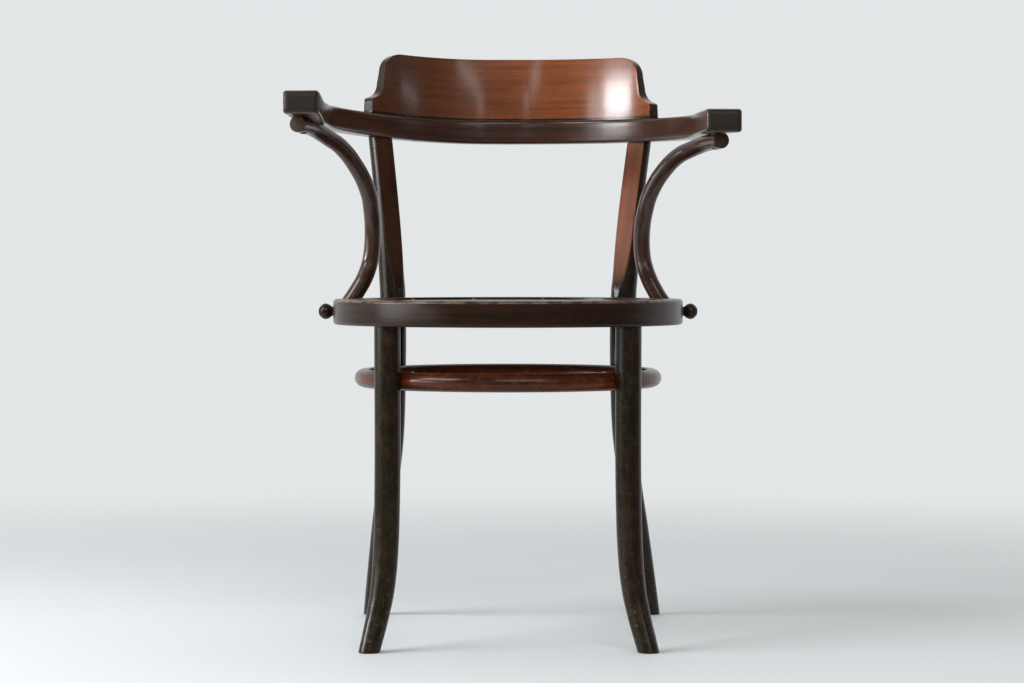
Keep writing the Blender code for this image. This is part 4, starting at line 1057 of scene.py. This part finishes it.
def varnished_wood(name, dark, middle, light, roughness=0.25, coat=0.3, specular=0.3, wear=0.3, scuffs=0.0,
                   scuff_height=0.0, patches=0.35, bare=(0.20, 0.115, 0.062), planed=None, shade=None,
                   groove=None, end_grain=(0.014, 0.012, 0.008), coat_roughness=0.12, rim=None):
    """Return stained beech under old varnish, with grain that follows the billet.

    bare is the wood's colour where the varnish is gone, and planed the colour of the planed flats,
    lighter as planed wood and more so as painted light where a flat faces the lamps on the left.
    shade has the runs and the colour of the painted shade on the piece's left part, which faces
    away from the lamps on the left, groove the two heights between which the painted shade along
    the groove at the piece's foot fades out, and rim where the bare upper outer edge begins, as
    height plus distance outwards.
    """
    material = bpy.data.materials.new(name)
    n = Nodes(material)
    billet = n.attribute("billet", "Vector")
    edges = n.attribute("worn_edge", "Fac")
    place = n.add("TexCoord").outputs["Object"]
    parts = n.add("SeparateXYZ", {"Vector": billet})
    bands = n.noise(n.stretch(billet, (5.0, 150.0, 150.0)), 1.0, 3.0, 0.55, 0.4)
    fibres = n.noise(n.stretch(billet, (38.0, 1500.0, 1500.0)), 1.0, 3.0, 0.6)
    flecks = n.noise(n.stretch(billet, (420.0, 2600.0, 2600.0)), 1.0, 1.0, 0.5)
    blotches = n.noise(place, 16.0, 4.0, 0.6, 0.5)
    clouds = n.noise(place, 55.0, 3.0, 0.6)
    color = n.mix(n.step(bands, 0.30, 0.72), dark, middle)
    # The planed colour is partly painted light, scaled for each post by the attribute planed.
    if planed:
        flat = n.attribute("planed", "Fac")
        color = n.mix(flat, color, n.mix(n.step(bands, 0.25, 0.75, 0.55, 1.0), middle, planed))
    color = n.mix(n.times(n.step(fibres, 0.42, 0.74), 0.45), color, light)
    color = n.mix(n.times(n.step(flecks, 0.60, 0.70), 0.45), color, dark)
    color = n.mix(n.times(n.step(blotches, 0.42, 0.70), patches), color, dark)
    # Painted shade: the piece's left part is darkened where it faces away from the lamps on the left.
    if shade:
        color = n.mix(n.step(parts.outputs["X"], *shade[0], 0.8, 0.0), color, shade[1])
    rub = n.times(edges, n.step(n.noise(place, 70.0, 4.0, 0.65), 0.42, 0.66))
    rub = n.times(rub, wear, clamp=True)
    color = n.mix(rub, color, light)
    if rim:
        corner = n.math("ADD", parts.outputs["Y"], parts.outputs["Z"])
        bare_rim = n.times(n.step(corner, *rim), n.step(clouds, 0.35, 0.6, 0.1, 0.8))
        color = n.mix(bare_rim, color, bare)
    scratches = n.step(n.noise(n.stretch(billet, (160.0, 700.0, 700.0)), 1.0, 2.0, 0.5, 1.2), 0.735, 0.76)
    worn = n.times(n.step(n.noise(place, 130.0, 5.0, 0.7), 0.56, 0.70), scuffs)
    if scuff_height > 0:
        height = n.add("SeparateXYZ", {"Vector": n.add("NewGeometry").outputs["Position"]}).outputs["Z"]
        low = n.step(height, 0.02, scuff_height, 1.25, 0.25)
        worn = n.times(worn, low, clamp=True)
        scratches = n.times(scratches, low)
    color = n.mix(worn, color, bare)
    color = n.mix(n.times(scratches, 0.35), color, bare)
    # Painted shade: the face is darkened just above the groove at its foot, where shade falls in the
    # crease.
    if groove:
        color = n.mix(n.step(parts.outputs["Z"], *groove, 0.85, 0.0), color, (0.004, 0.003, 0.002))
    ends = n.step(n.attribute("end_grain", "Fac"), 0.55, 0.85)
    color = n.mix(n.times(ends, 0.9), color, end_grain)
    gloss = n.math("MULTIPLY_ADD", clouds, 0.06, roughness - 0.03)
    gloss = n.math("ADD", gloss, n.times(n.math("ADD", worn, rub, clamp=True), 0.25), clamp=True)
    gloss = n.math("MULTIPLY_ADD", ends, 0.25, gloss, clamp=True)
    relief = n.math("MULTIPLY_ADD", fibres, 0.35, n.times(bands, 0.5))
    relief = n.math("MULTIPLY_ADD", clouds, 0.7, relief)
    relief = n.math("SUBTRACT", relief, n.times(scratches, 0.8))
    relief = n.math("SUBTRACT", relief, n.times(worn, 0.5))
    bump = n.add("Bump", {"Strength": 0.05, "Distance": 0.0006, "Height": relief})
    coat_bump = n.add("Bump", {"Strength": 0.008, "Distance": 0.0006, "Height": relief})
    n.fill({
        "Base Color": color, "Roughness": gloss, "Normal": bump.outputs["Normal"],
        "Coat Normal": coat_bump.outputs["Normal"], "Coat Roughness": coat_roughness,
        "Coat Weight": n.math("MULTIPLY_ADD", ends, -0.85 * coat, coat),
        "Coat IOR": 1.5, "Specular IOR Level": specular,
    })
    return material


def aged_steel(name, bright, dull):
    """Return darkened steel with rust in its patches."""
    material = bpy.data.materials.new(name)
    n = Nodes(material)
    place = n.add("TexCoord").outputs["Object"]
    patches = n.noise(place, 420.0, 4.0, 0.65)
    specks = n.noise(place, 1500.0, 2.0, 0.6)
    color = n.mix(n.step(patches, 0.38, 0.62), bright, dull)
    color = n.mix(n.times(n.step(specks, 0.58, 0.66), 0.6), color, (0.09, 0.035, 0.014))
    bump = n.add("Bump", {"Strength": 0.3, "Distance": 0.0002, "Height": specks})
    n.fill({"Base Color": color, "Roughness": n.math("MULTIPLY_ADD", patches, 0.35, 0.24),
            "Normal": bump.outputs["Normal"], "Metallic": 1.0})
    return material


def dress_fasteners(steel):
    """Give every screw, nail, bolt, washer and nut its steel."""
    words = ("screw", "nail", "bolt", "washer", "nut")
    for name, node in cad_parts.items():
        if any(word in name for word in words):
            node.data.materials.clear()
            node.data.materials.append(steel)


def area_light(name, start, end, height, target, power, color=DAYLIGHT):
    """Add a flat lamp from start to end that faces a point and is itself out of sight."""
    start, end = Vector(start), Vector(end)
    lamp = bpy.data.lights.new(name, "AREA")
    lamp.shape = "RECTANGLE"
    lamp.size, lamp.size_y = (end - start).length, height
    lamp.energy = power
    lamp.color = color
    obj = bpy.data.objects.new(name, lamp)
    bpy.context.scene.collection.objects.link(obj)
    middle = (start + end) / 2
    along = (end - start).normalized()
    back = middle - Vector(target)
    back = (back - along * back.dot(along)).normalized()
    turn = Matrix((along, back.cross(along), back)).transposed()
    obj.matrix_world = Matrix.Translation(middle) @ turn.to_4x4()
    obj.visible_camera = False


def room_level(n, backward):
    """Return how bright the room is in a direction, from that direction's part to the back."""
    return n.step(backward, -0.10, 0.35, ROOM_FRONT, ROOM_BACK)


def make_world():
    """Light the room softly, with a pale wall behind the chair and a dim room before it."""
    world = bpy.data.worlds.new("studio")
    bpy.context.scene.world = world
    n = Nodes(world)
    direction = n.add("SeparateXYZ", {"Vector": n.add("TexCoord").outputs["Generated"]})
    background = n.tree.nodes["Background"]
    n.join((*ROOM_COLOR, 1.0), background.inputs["Color"])
    n.join(room_level(n, direction.outputs["Y"]), background.inputs["Strength"])


def make_floor():
    """Lay a plain pale floor, which passes into the room's own brightness far from the chair."""
    shape = bmesh.new()
    bmesh.ops.create_grid(shape, x_segments=1, y_segments=1, size=9.0)
    floor = object_from("floor", shape)
    material = bpy.data.materials.new("pale_floor")
    n = Nodes(material)
    place = n.add("NewGeometry").outputs["Position"]
    color = n.mix(n.noise(place, 3.0, 4.0, 0.6), (0.745, 0.76, 0.765), (0.785, 0.80, 0.805))
    n.fill({"Base Color": color, "Roughness": 0.6, "Specular IOR Level": 0.2})
    distance = n.add("VectorMath", {0: place}, operation="LENGTH").outputs["Value"]
    backward = n.math("DIVIDE", n.add("SeparateXYZ", {"Vector": place}).outputs["Y"], distance)
    glow = n.add("Emission", {"Color": (*ROOM_COLOR, 1.0), "Strength": room_level(n, backward)})
    whole = n.add("MixShader", {0: n.step(distance, 0.7, 2.6), 1: n.shader.outputs[0], 2: glow.outputs[0]})
    n.join(whole.outputs[0], n.tree.nodes["Material Output"].inputs["Surface"])
    floor.data.materials.append(material)


def make_lights():
    """Add windows low on both sides, the sky over the left one, and soft light from the front."""
    chair = (0.0, 0.0, 0.45)
    back = (0.0, 0.1, 0.68)
    area_light("window", (-2.17, -0.78, 0.92), (-2.36, 0.05, 0.92), 0.24, back, 17.0)
    area_light("window_glow", (-2.1, -1.35, 0.80), (-2.6, -0.12, 0.80), 0.46, back, 11.0)
    area_light("low_glow", (-2.3, -1.12, 0.39), (-2.6, -0.12, 0.39), 0.24, chair, 4.4)
    area_light("low_fade", (-1.85, -1.95, 0.39), (-2.3, -1.12, 0.39), 0.24, chair, 2.0)
    area_light("sky", (-3.05, -0.72, 2.6), (-2.15, -2.28, 2.6), 1.4, chair, 70.0)
    area_light("front_soft", (-0.6, -3.4, 2.6), (1.75, -3.0, 2.6), 1.6, chair, 45.0, (1.0, 0.97, 0.93))
    area_light("right_window", (2.15, -0.86, 0.895), (2.3, -0.35, 0.99), 0.035, back, 0.45)
    area_light("right_gleam", (1.51, -1.96, 1.27), (0.92, -2.28, 1.065), 0.10, back, 1.3)
    area_light("left_gleam", (-0.92, -2.28, 1.27), (-0.68, -2.37, 1.065), 0.16, back, 0.9)
    area_light("right_spot", (0.92, -2.28, 0.93), (0.82, -2.32, 0.93), 0.12, back, 0.35)
    area_light("left_spot", (-0.57, -2.40, 0.95), (-0.47, -2.42, 0.95), 0.12, back, 0.35)


def make_camera():
    """Add the camera at the photograph's place."""
    data = bpy.data.cameras.new("camera")
    data.sensor_width = SENSOR_WIDTH
    data.lens = SENSOR_WIDTH * FOCAL_PIXELS / IMAGE_WIDTH
    camera = bpy.data.objects.new("camera", data)
    bpy.context.scene.collection.objects.link(camera)
    camera.location = CENTRE + Vector((CAMERA_RIGHT, -CAMERA_DISTANCE, CAMERA_HEIGHT))
    camera.rotation_euler = (math.pi / 2 - CAMERA_PITCH, 0, 0)
    bpy.context.scene.camera = camera


def build():
    """Make every finished piece, its surface and the studio."""
    bow_wood = varnished_wood("bow_varnish", (0.014, 0.007, 0.004), (0.068, 0.018, 0.007),
                              (0.13, 0.044, 0.018), roughness=0.30, coat=0.5, specular=0.25, wear=0.2,
                              patches=0.2, coat_roughness=0.2)
    # The crest's shade is painted shade on its left part, and its groove colour painted shade above its
    # foot.
    crest_wood = varnished_wood("crest_varnish", (0.140, 0.036, 0.010), (0.270, 0.068, 0.016),
                                (0.42, 0.135, 0.035), roughness=0.27, coat=0.75, specular=0.2, wear=0.2,
                                patches=0.15, shade=((0.34, 0.58), (0.048, 0.017, 0.008)),
                                groove=(-0.0395, -0.0365), coat_roughness=0.15)
    ring_wood = varnished_wood("ring_varnish", (0.008, 0.004, 0.0016), (0.025, 0.0085, 0.0034),
                               (0.055, 0.021, 0.009), roughness=0.30, coat=0.25, specular=0.12, wear=0.05,
                               scuffs=0.04, patches=0.15, coat_roughness=0.2, bare=(0.17, 0.105, 0.075),
                               rim=(RING_CORNER - RING_ROUNDING, RING_CORNER - RING_ROUNDING * 0.75))
    rod_wood = varnished_wood("rod_varnish", (0.016, 0.008, 0.005), (0.058, 0.021, 0.011),
                              (0.12, 0.050, 0.028), roughness=0.25, coat=0.4, wear=0.15, patches=0.15,
                              end_grain=(0.040, 0.018, 0.009))
    panel_wood = varnished_wood("panel_varnish", (0.014, 0.009, 0.006), (0.045, 0.024, 0.013),
                                (0.12, 0.060, 0.034), roughness=0.38, coat=0.15, wear=0.3, scuffs=0.4)
    leg_wood = varnished_wood("leg_varnish", (0.005, 0.0038, 0.0017), (0.0150, 0.0089, 0.0034),
                              (0.06, 0.034, 0.016), roughness=0.25, coat=0.12, specular=0.16, wear=0.5,
                              scuffs=0.5, scuff_height=0.16, bare=(0.15, 0.086, 0.038),
                              planed=(0.26, 0.068, 0.022))
    foot_wood = varnished_wood("foot_ring_varnish", (0.012, 0.004, 0.002), (0.110, 0.021, 0.005),
                               (0.20, 0.050, 0.014), roughness=0.24, coat=0.18, specular=0.15, wear=0.3,
                               scuffs=0.05, patches=0.25)
    make_arm_bow(bow_wood)
    make_crest(crest_wood)
    make_seat_ring(ring_wood)
    make_seat_panel(panel_wood)
    make_foot_ring(foot_wood)
    for side in (LEFT, RIGHT):
        make_front_leg(side, leg_wood)
        make_rear_leg(side, leg_wood)
        make_arm_support(side, rod_wood)
        make_side_knob(side, ring_wood)
    dress_fasteners(aged_steel("aged_steel", (0.42, 0.38, 0.32), (0.17, 0.14, 0.11)))
    make_world()
    make_floor()
    make_lights()
    make_camera()
    bpy.context.scene.view_settings.view_transform = "Standard"


build()
